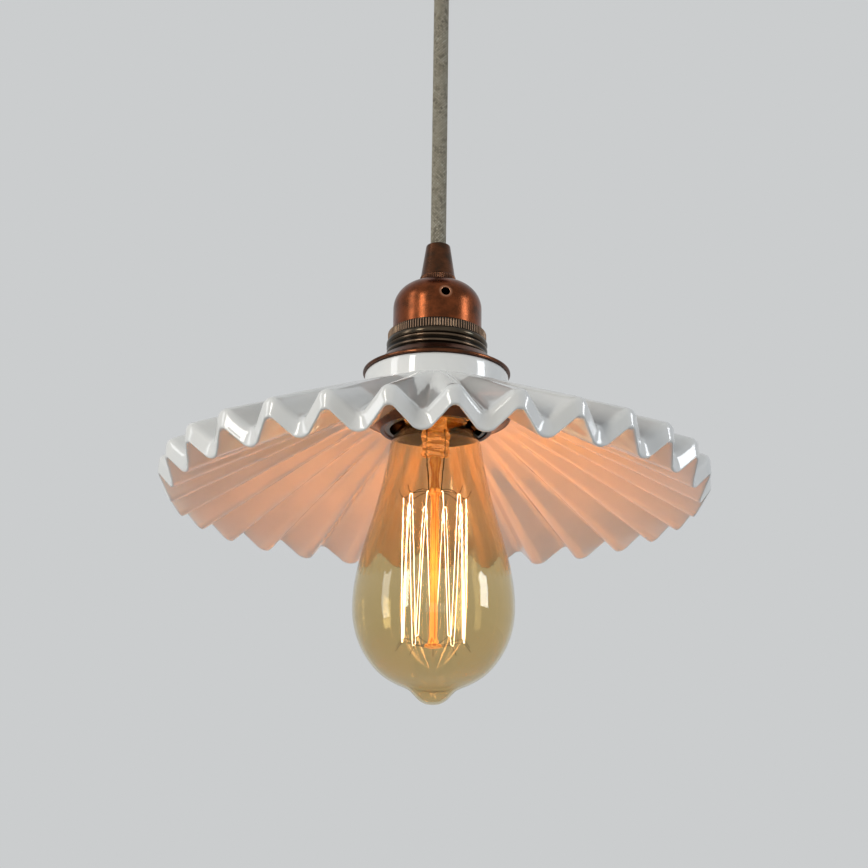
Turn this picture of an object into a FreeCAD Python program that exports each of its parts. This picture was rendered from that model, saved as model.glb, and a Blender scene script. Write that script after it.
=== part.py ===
import FreeCAD, Part
import math
import os
import re

import Sketcher
from FreeCAD import Placement, Rotation, Vector

# A pleated porcelain pendant light, hung from the ceiling on a textile cord.
# Millimetres, +Z up. The origin is the middle of the ceiling rose, in the plane of the ceiling.
# Every level below the ceiling is worked out by adding up the pieces that hang from each other.

os.makedirs("parts", exist_ok=True)
document = FreeCAD.newDocument("pendant_light")
sheet = document.addObject("Spreadsheet::Sheet", "Sizes")

SIZES = {
    # Ceiling cup, and the bar inside it that is screwed to the ceiling
    "cup_diameter": 100,
    "cup_height": 30,
    "cup_wall": 1.2,
    "cup_corner": 11,
    "bar_gap": 6.8,
    "bar_width": 16,
    "bar_wall": 2,
    "bar_drop": 15,
    "knee_gap": 4.5,
    "screw_hole": 4.5,
    # Threaded tubes and their thin nuts
    "nipple_gap": 0.45,
    "nipple_wall": 1.25,
    "nipple_end": 1,
    "nut_wall": 0.95,
    "nut_height": 3,
    "thread_gap": 0.05,
    # Terminal block on the bar
    "block_depth": 9,
    "block_width": 20,
    "block_height": 12,
    "block_pitch": 10,
    "block_offset": 15,
    "entry_diameter": 3.4,
    "entry_height": 9.5,
    "entry_depth": 1.5,
    # Cone cord grips, the same at both ends of the cord
    "grip_diameter": 14.9,
    "grip_mouth": 9.9,
    "grip_rim": 3,
    "grip_height": 17.7,
    "grip_thread": 8,
    "collet_height": 3,
    # Cord and its two conductors
    "cord_diameter": 6.6,
    "cord_length": 125.6,
    "swing_gap": 0.3,
    "conductor_diameter": 2.2,
    "conductor_pitch": 2.8,
    "conductor_bend": 3,
    "tail_end": 0.5,
    # Lampholder: dome, threaded skirt and porcelain core
    "dome_height": 20.9,
    "dome_round": 11,
    "dome_wall": 0.8,
    "peep_diameter": 3.7,
    "peep_height": 11.4,
    "peep_angle": 10.4,
    "skirt_wall": 2,
    "skirt_inset": 0.5,
    "shoulder_step": 0.2,
    "shoulder_spread": 1.8,
    "shoulder_height": 4.3,
    "shoulder_wall": 2.6,
    "bead_drop": 0.9,
    "bead_height": 3,
    "bead_bow": 0.5,
    "groove_height": 0.4,
    "thread_step": 0.5,
    "open_thread": 4.1,
    "spigot_height": 3.4,
    "spigot_wall": 1.1,
    "core_gap": 0.1,
    "core_wall": 2.35,
    "core_length": 38.5,
    "core_flange": 2.5,
    "core_bore_depth": 25,
    "core_floor": 4,
    "recess_diameter": 25,
    "shell_wall": 0.4,
    "shell_length": 23.8,
    "shell_lip": 2.4,
    "rivet_diameter": 3,
    "rivet_head": 5.4,
    "rivet_head_height": 0.8,
    "spring_diameter": 10,
    "spring_flat": 4,
    "spring_wall": 0.4,
    "spring_height": 1.1,
    "post_length": 7.5,
    "post_width": 6,
    "post_height": 6,
    "post_offset": 8,
    "post_screw_shift": 1.8,
    "post_wire_shift": 2.3,
    "screw_diameter": 2.4,
    "screw_length": 3.5,
    "screw_head": 3.6,
    "screw_head_height": 1.4,
    "screw_slot": 0.6,
    "screw_slot_depth": 0.7,
    # Rings that clamp the shade on the skirt
    "ring_width": 9.35,
    "ring_height": 6.3,
    "ring_root": 3,
    "ring_collar_wall": 1.5,
    "ring_collar_gap": 1.2,
    "ring_lip_width": 3.2,
    "ring_lip_height": 1.3,
    "ring_lip_round": 0.7,
    "ring_bow": 0.7,
    # Pleated porcelain shade
    "shade_diameter": 220,
    "shade_height": 57.1,
    "shade_bore_gap": 0.4,
    "neck_inset": 0.85,
    "neck_height": 8.5,
    "neck_round": 1.4,
    "seat_depth": 17.7,
    "seat_margin": 1.3,
    "pleats": 30,
    "pleat_turn": -2.58,
    "peak_rise": 15.7,
    "valley_rise": 7.9,
    "valley_inset": 4.8,
    "rim_wall": 6.9,
    "rim_lean": 3,
    "rim_bevel": 1.2,
    "crest_round": 4,
    "crease_round": 1.2,
    # Bulb
    "bulb_gap": 0.3,
    "glass_diameter": 64,
    "glass_wall": 1,
    "flank_rise": 32.5,
    "flank_diameter": 52.2,
    "flank_bow": 1.5,
    "throat_rise": 36,
    "throat_diameter": 36.2,
    "throat_bow": 0.7,
    "neck_bow": 1.6,
    "glass_neck_rise": 10.5,
    "glass_neck_gap": 0.5,
    "glass_neck_height": 7.5,
    "pip_diameter": 20,
    "pip_height": 6.7,
    "pip_waist_diameter": 11,
    "pip_waist_height": 3,
    "pip_bow": 0.5,
    "pip_tip_bow": 1.1,
    "cap_diameter": 26.2,
    "cap_wall": 0.3,
    "cap_height": 20,
    "cap_lip": 1.4,
    "insulator_height": 4.1,
    "tip_diameter": 9.2,
    "tip_height": 2,
    "tip_gap": 0.1,
    "tip_bevel": 1,
    "tip_pin_diameter": 3,
    "tip_pin_length": 3,
    "flare_height": 1.6,
    "stem_diameter": 9,
    "stem_length": 24,
    "press_length": 12,
    "press_width": 11.5,
    "press_wall": 4,
    "rod_diameter": 3.4,
    "rod_foot_drop": 2.8,
    "rod_foot_diameter": 7,
    "rod_foot_wall": 1,
    "button_diameter": 5.4,
    "button_wall": 2.4,
    "button_drop": 14.2,
    "cage_diameter": 25.2,
    "cage_height": 59,
    "hairpins": 9,
    "filament_diameter": 0.3,
    "support_diameter": 0.4,
    "support_tail": 2.6,
    "lead_diameter": 0.6,
    "lead_spread": 7.6,
}

for row, (name, size) in enumerate(SIZES.items(), 1):
    sheet.set(f"A{row}", name)
    sheet.set(f"B{row}", str(size))
    sheet.setAlias(f"B{row}", name)
document.recompute()

UPRIGHT = Vector(0, 0, 1)
LEFT = 1
RIGHT = -1


def bound(formula):
    """The formula with each size's name pointing at its cell."""
    return re.sub(r"[a-z_]+", lambda word: "Sizes." + word[0] if word[0] in SIZES else word[0], formula)


def sized(formula):
    """What the formula comes to."""
    result = sheet.evalExpression(bound(formula))
    return float(getattr(result, "Value", result))


def bind(owner, place, formula):
    """Ties one property of an object to the sheet."""
    owner.setExpression(place, bound(formula))


def lift(piece, height):
    """Sets how high a piece stands, as a formula on the sheet."""
    bind(piece, "Placement.Base.z", height)


def new_body(label):
    body = document.addObject("PartDesign::Body", label)
    body.Label = label
    return body


def new_sketch(body, plane, label):
    """A sketch on one of the body's own origin planes."""
    sketch = body.newObject("Sketcher::SketchObject", f"{body.Label}_{label}")
    planes = {feature.Role: feature for feature in body.Origin.OriginFeatures}
    sketch.AttachmentSupport = [(planes[plane], "")]
    sketch.MapMode = "FlatFace"
    return sketch


def pin(sketch, edge, end, across, up):
    """Holds one end of an edge at a place given by two formulas."""
    for direction, formula in (("DistanceX", across), ("DistanceY", up)):
        constraint = Sketcher.Constraint(direction, -1, 1, edge, end, sized(formula))
        number = sketch.addConstraint(constraint)
        if formula != "0":
            bind(sketch, f"Constraints[{number}]", formula)


def trace(sketch, corners):
    """A closed outline. A corner is (across, up). One that also has a bow and a side starts an arc to the
    next corner, which stands out from the straight way by the bow, with its centre on that side."""
    places = [Vector(sized(corner[0]), sized(corner[1]), 0) for corner in corners]
    ends = []
    for number, corner in enumerate(corners):
        start = places[number]
        following = (number + 1) % len(corners)
        end = places[following]
        if len(corner) == 2:
            edge = sketch.addGeometry(Part.LineSegment(start, end))
            ends.append((edge, 1, 2))
            continue
        bow, side = corner[2:]
        across, up = (f"({corners[following][way]} - ({corner[way]}))" for way in (0, 1))
        radius = f"({across} ^ 2 + {up} ^ 2) / 8 / ({bow}) + ({bow}) / 2"
        half = (end - start) / 2
        aside = Vector(-half.y, half.x, 0).normalize()
        centre = start + half + aside * side * (sized(radius) - sized(bow))
        angles = [math.atan2(place.y - centre.y, place.x - centre.x) for place in (start, end)]
        circle = Part.Circle(centre, UPRIGHT, sized(radius))
        edge = sketch.addGeometry(Part.ArcOfCircle(circle, *angles[::side]))
        ends.append((edge, 1, 2) if side == LEFT else (edge, 2, 1))
        number = sketch.addConstraint(Sketcher.Constraint("Radius", edge, sized(radius)))
        bind(sketch, f"Constraints[{number}]", radius)
    for (edge, _, last), (other, first, _) in zip(ends, ends[1:] + ends[:1]):
        sketch.addConstraint(Sketcher.Constraint("Coincident", edge, last, other, first))
    for (edge, first, _), corner in zip(ends, corners):
        pin(sketch, edge, first, corner[0], corner[1])


def round_corner(radius):
    """The bow of a quarter circle of the given radius."""
    return f"({radius}) * (1 - sqrt(2) / 2)"


def revolve(body, corners):
    """Adds a solid turned about the body's upright axis from an outline of radii and heights."""
    sketch = new_sketch(body, "XZ_Plane", "outline")
    trace(sketch, corners)
    turn = body.newObject("PartDesign::Revolution", f"{body.Label}_turn")
    turn.Profile = sketch
    turn.ReferenceAxis = (sketch, ["V_Axis"])
    turn.Angle = 360
    return turn


def turned(label, corners):
    body = new_body(label)
    revolve(body, corners)
    return body


def pad(body, sketch, length, middle=False):
    """Adds the sketch's outline, upwards from its plane or to both sides of it."""
    block = body.newObject("PartDesign::Pad", f"{sketch.Label}_pad")
    block.Profile = sketch
    bind(block, "Length", length)
    block.SideType = "Symmetric" if middle else "One side"
    return block


def cut(body, sketch, length):
    """Cuts the sketch's outline to both sides of its plane."""
    pocket = body.newObject("PartDesign::Pocket", f"{sketch.Label}_cut")
    pocket.Profile = sketch
    bind(pocket, "Length", length)
    pocket.SideType = "Symmetric"
    return pocket


def circles(body, plane, label, places, diameter):
    """A sketch of equal circles at the given places."""
    sketch = new_sketch(body, plane, label)
    for across, up in places:
        middle = Vector(sized(across), sized(up), 0)
        edge = sketch.addGeometry(Part.Circle(middle, UPRIGHT, sized(diameter) / 2))
        pin(sketch, edge, 3, across, up)
        number = sketch.addConstraint(Sketcher.Constraint("Diameter", edge, sized(diameter)))
        bind(sketch, f"Constraints[{number}]", diameter)
    return sketch


def rectangle(left, right, low, high):
    return [(left, low), (right, low), (right, high), (left, high)]


def shaped(label, shape, place=Placement()):
    """A piece whose solid is worked out from the sheet's values."""
    piece = document.addObject("Part::Feature", label)
    piece.Label = label
    piece.Shape = shape
    piece.Placement = place
    return piece


# Levels below the ceiling

bar_middle = "bar_drop + bar_wall"
ceiling_mouth = "cup_height + grip_height"
lamp_mouth = ceiling_mouth + " + cord_length"
dome_crown = lamp_mouth + " + grip_height"
dome_foot = dome_crown + " + dome_height"
above_rings = "shoulder_height + bead_drop + bead_height + groove_height + open_thread"
skirt_height = above_rings + " + 2 * ring_height + seat_depth - skirt_inset"
ring_seat = f"{dome_foot} + {above_rings} + ring_height"
shade_foot = ring_seat + " + shade_height"
core_seat = dome_foot + " - spigot_height"
core_foot = core_seat + " + core_length"
core_ceiling = core_foot + " - core_bore_depth"
contact_foot = core_ceiling + " + spring_height"
bulb_top = contact_foot + " + bulb_gap"
cap_top = bulb_top + " + tip_height + insulator_height"
cap_foot = cap_top + " + cap_height"

# Heights above the foot of the bulb

glass_radius = "glass_diameter / 2"
pip_radius = "pip_diameter / 2"
widest_height = f"pip_height + sqrt(({glass_radius}) ^ 2 - ({pip_radius}) ^ 2)"
flank_height = widest_height + " + flank_rise"
throat_height = flank_height + " + throat_rise"
glass_length = throat_height + " + glass_neck_rise"
neck_top = glass_length + " + glass_neck_height"
press_height = neck_top + " - stem_length"
cage_top = press_height + " - button_drop"
cage_foot = cage_top + " - cage_height"
rod_foot_height = cage_foot + " - rod_foot_drop"
bulb_foot = f"{cap_foot} + {glass_length}"

# Radii that follow from each other, from the cord and the bulb's cap outwards

cord_radius = "cord_diameter / 2"
cord_hole = cord_radius + " + swing_gap"
nipple_bore = cord_radius + " + nipple_gap"
nipple_radius = nipple_bore + " + nipple_wall"
nipple_hole = nipple_radius + " + thread_gap"
nut_half = f"({nipple_hole} + nut_wall)"
cap_radius = "cap_diameter / 2"
neck_radius = cap_radius + " - cap_wall - glass_neck_gap"
shell_outside = cap_radius + " + bulb_gap + shell_wall"
core_bore = shell_outside + " + core_gap"
core_outside = core_bore + " + core_wall"
spigot_inside = core_outside + " + core_gap"
spigot_outside = spigot_inside + " + spigot_wall"
dome_inside = spigot_outside + " + thread_gap"
dome_radius = dome_inside + " + dome_wall"
shoulder_edge = dome_radius + " + shoulder_step"
bead_radius = shoulder_edge + " + shoulder_spread"
skirt_radius = bead_radius + " + thread_step"
ring_bore = skirt_radius + " + thread_gap"
ring_collar = ring_bore + " + ring_collar_wall"
ring_edge = ring_bore + " + ring_width"

# Ceiling cup: a spun copper cup, open towards the ceiling, with a hole for the threaded tube

cup = turned("ceiling_cup", [
    (nipple_hole, "0"),
    ("cup_diameter / 2 - cup_corner", "0", round_corner("cup_corner"), LEFT),
    ("cup_diameter / 2", "cup_corner"),
    ("cup_diameter / 2", "cup_height"),
    ("cup_diameter / 2 - cup_wall", "cup_height"),
    ("cup_diameter / 2 - cup_wall", "cup_corner", round_corner("cup_corner - cup_wall"), RIGHT),
    ("cup_diameter / 2 - cup_corner", "cup_wall"),
    (nipple_hole, "cup_wall"),
])
lift(cup, "-cup_height")

# Mounting bar: a cranked steel strip whose two feet are screwed to the ceiling

bar = new_body("mounting_bar")
bar_half = "cup_diameter / 2 - cup_wall - bar_gap"
bar_knee = "block_offset + block_depth / 2 + knee_gap"
bar_side = [
    (bar_half, "0"),
    (bar_knee, "0"),
    (bar_knee, "-bar_drop"),
    (f"-({bar_knee})", "-bar_drop"),
    (f"-({bar_knee})", "0"),
    (f"-({bar_half})", "0"),
    (f"-({bar_half})", "-bar_wall"),
    (f"-({bar_knee}) - bar_wall", "-bar_wall"),
    (f"-({bar_knee}) - bar_wall", f"-({bar_middle})"),
    (f"{bar_knee} + bar_wall", f"-({bar_middle})"),
    (f"{bar_knee} + bar_wall", "-bar_wall"),
    (bar_half, "-bar_wall"),
]
bar_sketch = new_sketch(bar, "XZ_Plane", "side")
trace(bar_sketch, bar_side)
pad(bar, bar_sketch, "bar_width", middle=True)
middle_hole = circles(bar, "XY_Plane", "middle_hole", [("0", "0")], f"2 * ({nipple_hole})")
cut(bar, middle_hole, f"3 * ({bar_middle})")
screw_places = [(f"{side} * ({bar_half} + {bar_knee}) / 2", "0") for side in (-1, 1)]
cut(bar, circles(bar, "XY_Plane", "screw_holes", screw_places, "screw_hole"), "3 * bar_wall")

# Threaded tubes: one carries the cup and grip below the bar, the other joins the lamp's grip and dome

ceiling_nipple_top = "bar_drop - nut_height - nipple_end"
lamp_nipple_foot = dome_crown + " + dome_wall + nut_height + nipple_end"
for label, top, foot in (
    ("ceiling_nipple", ceiling_nipple_top, "cup_height + grip_thread"),
    ("lamp_nipple", dome_crown + " - grip_thread", lamp_nipple_foot),
):
    tube = turned(label, rectangle(nipple_bore, nipple_radius, "0", f"{foot} - ({top})"))
    lift(tube, f"-({foot})")

# Thin hexagon nuts: above and below the bar, and inside the dome

for label, foot in (
    ("upper_lock_nut", "bar_drop"),
    ("lower_lock_nut", bar_middle + " + nut_height"),
    ("lamp_lock_nut", dome_crown + " + dome_wall + nut_height"),
):
    nut = new_body(label)
    corner = f"2 * {nut_half} / sqrt(3)"
    hexagon = new_sketch(nut, "XY_Plane", "hexagon")
    trace(hexagon, [
        (corner, "0"),
        (f"{corner} / 2", nut_half),
        (f"-{corner} / 2", nut_half),
        (f"-{corner}", "0"),
        (f"-{corner} / 2", f"-{nut_half}"),
        (f"{corner} / 2", f"-{nut_half}"),
    ])
    pad(nut, hexagon, "nut_height")
    cut(nut, circles(nut, "XY_Plane", "thread", [("0", "0")], f"2 * ({nipple_hole})"), "3 * nut_height")
    lift(nut, f"-({foot})")

# Cone cord grips: knurled brass cones, mouth down at the ceiling and mouth up on the lamp

collet_pocket = "grip_thread + collet_height + thread_gap"
for label, seat, turned_over in (
    ("ceiling_cord_grip", "cup_height", True),
    ("lamp_cord_grip", dome_crown, False),
):
    grip = turned(label, [
        (nipple_hole, "0"),
        ("grip_diameter / 2", "0"),
        ("grip_diameter / 2", "grip_rim"),
        ("grip_mouth / 2", "grip_height"),
        (cord_hole, "grip_height"),
        (cord_hole, collet_pocket),
        (nipple_hole, collet_pocket),
    ])
    if turned_over:
        grip.Placement = Placement(Vector(), Rotation(Vector(1, 0, 0), 180))
    lift(grip, f"-({seat})")

# Nylon collets that grip the cord inside the cones

for label, foot in (
    ("ceiling_grip_collet", "cup_height + grip_thread + collet_height"),
    ("lamp_grip_collet", dome_crown + " - grip_thread"),
):
    collet = turned(label, rectangle(
        cord_radius + " + thread_gap", nipple_radius, "0", "collet_height"))
    lift(collet, f"-({foot})")

# Cord: the free stretch, round at both ends where it turns in the mouths of the grips

cord = turned("cord", [
    ("0", "0", round_corner(cord_radius), LEFT),
    (cord_radius, cord_radius),
    (cord_radius, f"{cord_radius} + cord_length", round_corner(cord_radius), LEFT),
    ("0", "cord_diameter + cord_length"),
])
lift(cord, f"-({lamp_mouth} + {cord_radius})")

# Cord tails: what the grips hold of the cord, up to where its sheath is stripped

ceiling_tail_top = ceiling_nipple_top + " - tail_end"
lamp_tail_foot = lamp_nipple_foot + " + tail_end"
for label, top, foot in (
    ("ceiling_cord_tail", ceiling_tail_top, f"{ceiling_mouth} - ({cord_hole})"),
    ("lamp_cord_tail", f"{lamp_mouth} + {cord_hole}", lamp_tail_foot),
):
    tail = document.addObject("Part::Cylinder", label)
    bind(tail, "Radius", cord_radius)
    bind(tail, "Height", f"{foot} - ({top})")
    lift(tail, f"-({foot})")

# Terminal block: a moulded block with two poles, standing on the middle of the bar

block = new_body("terminal_block")
block_sketch = new_sketch(block, "XY_Plane", "foot")
trace(block_sketch, rectangle("-block_depth / 2", "block_depth / 2", "-block_width / 2", "block_width / 2"))
pad(block, block_sketch, "block_height")
poles = (("neutral", "-block_pitch / 2"), ("live", "block_pitch / 2"))
entries = [(across, "entry_height") for _, across in poles]
cut(block, circles(block, "YZ_Plane", "entries", entries, "entry_diameter"), "3 * block_depth")
block_screws = circles(block, "XY_Plane", "screw_holes", [("0", across) for _, across in poles],
                       "screw_diameter + 2 * thread_gap")
bind(block_screws, "AttachmentOffset.Base.z", "block_height")
cut(block, block_screws, "2 * screw_length")
bind(block, "Placement.Base.x", "block_offset")
lift(block, "-bar_drop")

# Terminal posts: two brass blocks in the recess of the core, each with a wire hole and a screw hole

posts = (("neutral", -1), ("live", 1))
for pole, side in posts:
    post = new_body(f"{pole}_terminal_post")
    post_sketch = new_sketch(post, "XY_Plane", "foot")
    trace(post_sketch, rectangle("-post_length / 2", "post_length / 2", "-post_width / 2", "post_width / 2"))
    pad(post, post_sketch, "post_height")
    wire_hole = circles(post, "XY_Plane", "wire_hole", [(f"{side} * post_wire_shift", "0")],
                        "conductor_diameter + 4 * thread_gap")
    cut(post, wire_hole, "3 * post_height")
    screw_hole = circles(post, "XY_Plane", "screw_hole", [(f"{-side} * post_screw_shift", "0")],
                         "screw_diameter + 2 * thread_gap")
    cut(post, screw_hole, "3 * post_height")
    bind(post, "Placement.Base.x", f"{side} * post_offset")
    lift(post, f"-({core_ceiling} - core_floor)")

# Terminal screws: slotted brass screws, two in the block and two in the posts

post_screw = "post_offset - post_screw_shift"
post_top = core_ceiling + " - core_floor - post_height"
for label, across, along, seat in (
    ("block_neutral_screw", "block_offset", "-block_pitch / 2", "bar_drop - block_height"),
    ("block_live_screw", "block_offset", "block_pitch / 2", "bar_drop - block_height"),
    ("neutral_post_screw", f"-({post_screw})", "0", post_top),
    ("live_post_screw", post_screw, "0", post_top),
):
    screw = turned(label, [
        ("0", "0"),
        ("screw_diameter / 2", "0"),
        ("screw_diameter / 2", "screw_length"),
        ("screw_head / 2", "screw_length"),
        ("screw_head / 2", "screw_length + screw_head_height"),
        ("0", "screw_length + screw_head_height"),
    ])
    slot = new_sketch(screw, "XZ_Plane", "slot")
    slot_top = "screw_length + screw_head_height"
    trace(slot, rectangle("-screw_slot / 2", "screw_slot / 2", slot_top + " - screw_slot_depth", slot_top))
    cut(screw, slot, "2 * screw_head")
    bind(screw, "Placement.Base.x", across)
    bind(screw, "Placement.Base.y", along)
    lift(screw, f"-({seat}) - screw_length")

# Conductors: the two insulated cores of the cord, bent from its stripped ends to the terminals


def bent_wire(points, bend, radius):
    """A round wire along straight runs that are joined by arcs of one radius."""
    edges = []
    start = points[0]
    for before, corner, after in zip(points, points[1:], points[2:]):
        towards = (before - corner).normalize()
        onwards = (after - corner).normalize()
        half = towards.getAngle(onwards) / 2
        reach = bend / math.tan(half)
        inwards = (towards + onwards).normalize()
        middle = corner + inwards * (bend / math.sin(half) - bend)
        edges.append(Part.makeLine(start, corner + towards * reach))
        edges.append(Part.Arc(corner + towards * reach, middle, corner + onwards * reach).toShape())
        start = corner + onwards * reach
    edges.append(Part.makeLine(start, points[-1]))
    section = Part.Wire(Part.makeCircle(radius, points[0], points[1] - points[0]))
    return Part.Wire(edges).makePipeShell([section], True, True)


conductor_radius = sized("conductor_diameter / 2")
conductor_bend = sized("conductor_bend")
block_face = sized("block_offset - block_depth / 2")
block_entry = sized("entry_height - bar_drop")
for pole, side in posts:
    start = Vector(0, sized("conductor_pitch / 2") * side, -sized(ceiling_tail_top))
    entry = Vector(block_face, sized("block_pitch / 2") * side, block_entry)
    above = Vector(start.x, start.y, block_entry)
    inside = entry + (entry - above).normalize() * sized("entry_depth")
    shaped(f"ceiling_{pole}_wire", bent_wire([start, above, inside], conductor_bend, conductor_radius))

wire_turn_shares = (0.3, 0.72)
for pole, side in posts:
    start = Vector(sized("conductor_pitch / 2") * side, 0, -sized(lamp_tail_foot))
    end = Vector(sized("post_offset + post_wire_shift") * side, 0, -sized(post_top + " + entry_depth"))
    turns = [start.z + (end.z - start.z) * share for share in wire_turn_shares]
    points = [start, Vector(start.x, 0, turns[0]), Vector(end.x, 0, turns[1]), end]
    shaped(f"lamp_{pole}_wire", bent_wire(points, conductor_bend, conductor_radius))

# Holder dome: a spun copper cap with one small round hole in its side

dome = turned("holder_dome", [
    (dome_inside, "0"),
    (dome_radius, "0"),
    (dome_radius, "dome_height - dome_round", round_corner("dome_round"), LEFT),
    (dome_radius + " - dome_round", "dome_height"),
    (nipple_hole, "dome_height"),
    (nipple_hole, "dome_height - dome_wall"),
    (dome_radius + " - dome_round", "dome_height - dome_wall",
     round_corner("dome_round - dome_wall"), RIGHT),
    (dome_inside, "dome_height - dome_round"),
])
peep_hole = circles(dome, "XZ_Plane", "peep_hole", [("0", "peep_height")], "peep_diameter")
peep = cut(dome, peep_hole, f"2 * ({dome_radius})")
peep.SideType = "One side"
peep.Reversed = True
dome.Placement = Placement(Vector(), Rotation(UPRIGHT, sized("peep_angle")))
lift(dome, f"-({dome_foot})")

# Holder skirt: a threaded tube with a knurled shoulder and a bead, whose spigot screws into the dome

skirt_shoulder = skirt_height + " - shoulder_height"
bead_top = skirt_shoulder + " - bead_drop"
bead_foot = bead_top + " - bead_height"
skirt = turned("holder_skirt", [
    (skirt_radius + " - skirt_wall", "0"),
    (skirt_radius, "0"),
    (skirt_radius, bead_foot + " - groove_height"),
    (bead_radius, bead_foot, "bead_bow", LEFT),
    (bead_radius, bead_top),
    (bead_radius, skirt_shoulder),
    (shoulder_edge, skirt_height),
    (spigot_outside, skirt_height),
    (spigot_outside, skirt_height + " + spigot_height"),
    (spigot_inside, skirt_height + " + spigot_height"),
    (spigot_inside, skirt_height + " - shoulder_wall"),
    (skirt_radius + " - skirt_wall", skirt_height + " - shoulder_wall"),
])
lift(skirt, f"-({dome_foot} + {skirt_height})")

# Porcelain core: its flange rests on the skirt's spigot, and its bore holds the screw shell

rivet_hole = "rivet_diameter / 2 + thread_gap"
core = turned("ceramic_core", [
    (core_bore, "0"),
    (core_outside, "0"),
    (core_outside, "core_length"),
    (dome_inside + " - core_gap", "core_length"),
    (dome_inside + " - core_gap", "core_length + core_flange"),
    ("recess_diameter / 2", "core_length + core_flange"),
    ("recess_diameter / 2", "core_bore_depth + core_floor"),
    (rivet_hole, "core_bore_depth + core_floor"),
    (rivet_hole, "core_bore_depth"),
    (core_bore, "core_bore_depth"),
])
lift(core, f"-({core_foot})")

# Screw shell: the brass sleeve that takes the bulb's cap, lipped against the floor of the core

shell = turned("socket_shell", [
    (shell_outside + " - shell_wall", "0"),
    (shell_outside, "0"),
    (shell_outside, "shell_length"),
    (shell_outside + " - shell_lip", "shell_length"),
    (shell_outside + " - shell_lip", "shell_length - shell_wall"),
    (shell_outside + " - shell_wall", "shell_length - shell_wall"),
])
lift(shell, f"-({core_ceiling} + shell_length)")

# Centre contact: a dished brass spring riveted through the floor of the core

rivet_top = "spring_height + core_floor"
contact = turned("centre_contact", [
    ("0", "0"),
    ("spring_flat / 2", "0"),
    ("spring_diameter / 2", "spring_height - spring_wall"),
    ("spring_diameter / 2", "spring_height"),
    ("rivet_diameter / 2", "spring_height"),
    ("rivet_diameter / 2", rivet_top),
    ("rivet_head / 2", rivet_top),
    ("rivet_head / 2", rivet_top + " + rivet_head_height"),
    ("0", rivet_top + " + rivet_head_height"),
])
lift(contact, f"-({contact_foot})")

# Shade rings: dished and threaded, one pressing on the shade from above and its twin from below

for label, seat, turned_over in (
    ("upper_shade_ring", ring_seat, False),
    ("lower_shade_ring", ring_seat + " + seat_depth", True),
):
    ring = turned(label, [
        (ring_bore, "ring_collar_gap"),
        (ring_collar, "ring_collar_gap"),
        (ring_collar, "ring_height - ring_root"),
        (ring_edge + " - ring_lip_width", "0"),
        (ring_edge, "0"),
        (ring_edge, "ring_lip_height - ring_lip_round", round_corner("ring_lip_round"), LEFT),
        (ring_edge + " - ring_lip_round", "ring_lip_height", "ring_bow", RIGHT),
        (ring_collar, "ring_height"),
        (ring_bore, "ring_height"),
    ])
    if turned_over:
        ring.Placement = Placement(Vector(), Rotation(Vector(1, 0, 0), 180))
    lift(ring, f"-({seat})")

# Porcelain shade: a shallow cone whose pleats grow from nothing at the neck to a zigzag rim.
# Its skin is made of bands between loops. Each loop goes once round the shade, and all have as many places.

CREST_CHORDS = 3
CREASE_CHORDS = 2


def around(radius, angle, height):
    """The place at a radius, an angle and a height. The angle starts at the front and runs to the right."""
    return Vector(radius * math.sin(angle), -radius * math.cos(angle), height)


def rounded(before, corner, after, radius, chords):
    """Places along the arc that rounds a corner between two flanks and touches the corner's place."""
    towards = (before - corner).normalize()
    onwards = (after - corner).normalize()
    inwards = (towards + onwards).normalize()
    aside = (onwards - towards).normalize()
    turn = math.pi / 2 - towards.getAngle(onwards) / 2
    angles = [turn * (2 * part / chords - 1) for part in range(chords + 1)]
    middle = corner + inwards * radius
    return [middle + (aside * math.sin(angle) - inwards * math.cos(angle)) * radius for angle in angles]


def zigzag(crease, crest):
    """A loop of straight flanks with rounded corners. Crease and crest are (radius, height, round)."""
    count = 2 * round(sized("pleats"))
    first = math.radians(sized("pleat_turn"))
    ends = ((*crease, CREASE_CHORDS), (*crest, CREST_CHORDS))
    angles = [first + 2 * math.pi * k / count for k in range(count)]
    corners = [around(ends[k % 2][0], angle, ends[k % 2][1]) for k, angle in enumerate(angles)]
    places = []
    for k, corner in enumerate(corners):
        places += rounded(corners[k - 1], corner, corners[(k + 1) % count], *ends[k % 2][2:])
    return places


def hoop(radius, height, rim):
    """A round loop with its places at the same angles as the rim's."""
    return [around(radius, math.atan2(place.x, -place.y), height) for place in rim]


def halfway(near, far):
    return [(one + other) / 2 for one, other in zip(near, far)]


def band(near, far):
    """Flat triangles, two for each step round, between two loops."""
    steps = list(zip(near, far))
    for (one, other), (next_one, next_other) in zip(steps, steps[1:] + steps[:1]):
        for places in ((one, next_one, next_other), (one, next_other, other)):
            yield Part.Face(Part.makePolygon([*places, places[0]]))


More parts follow.
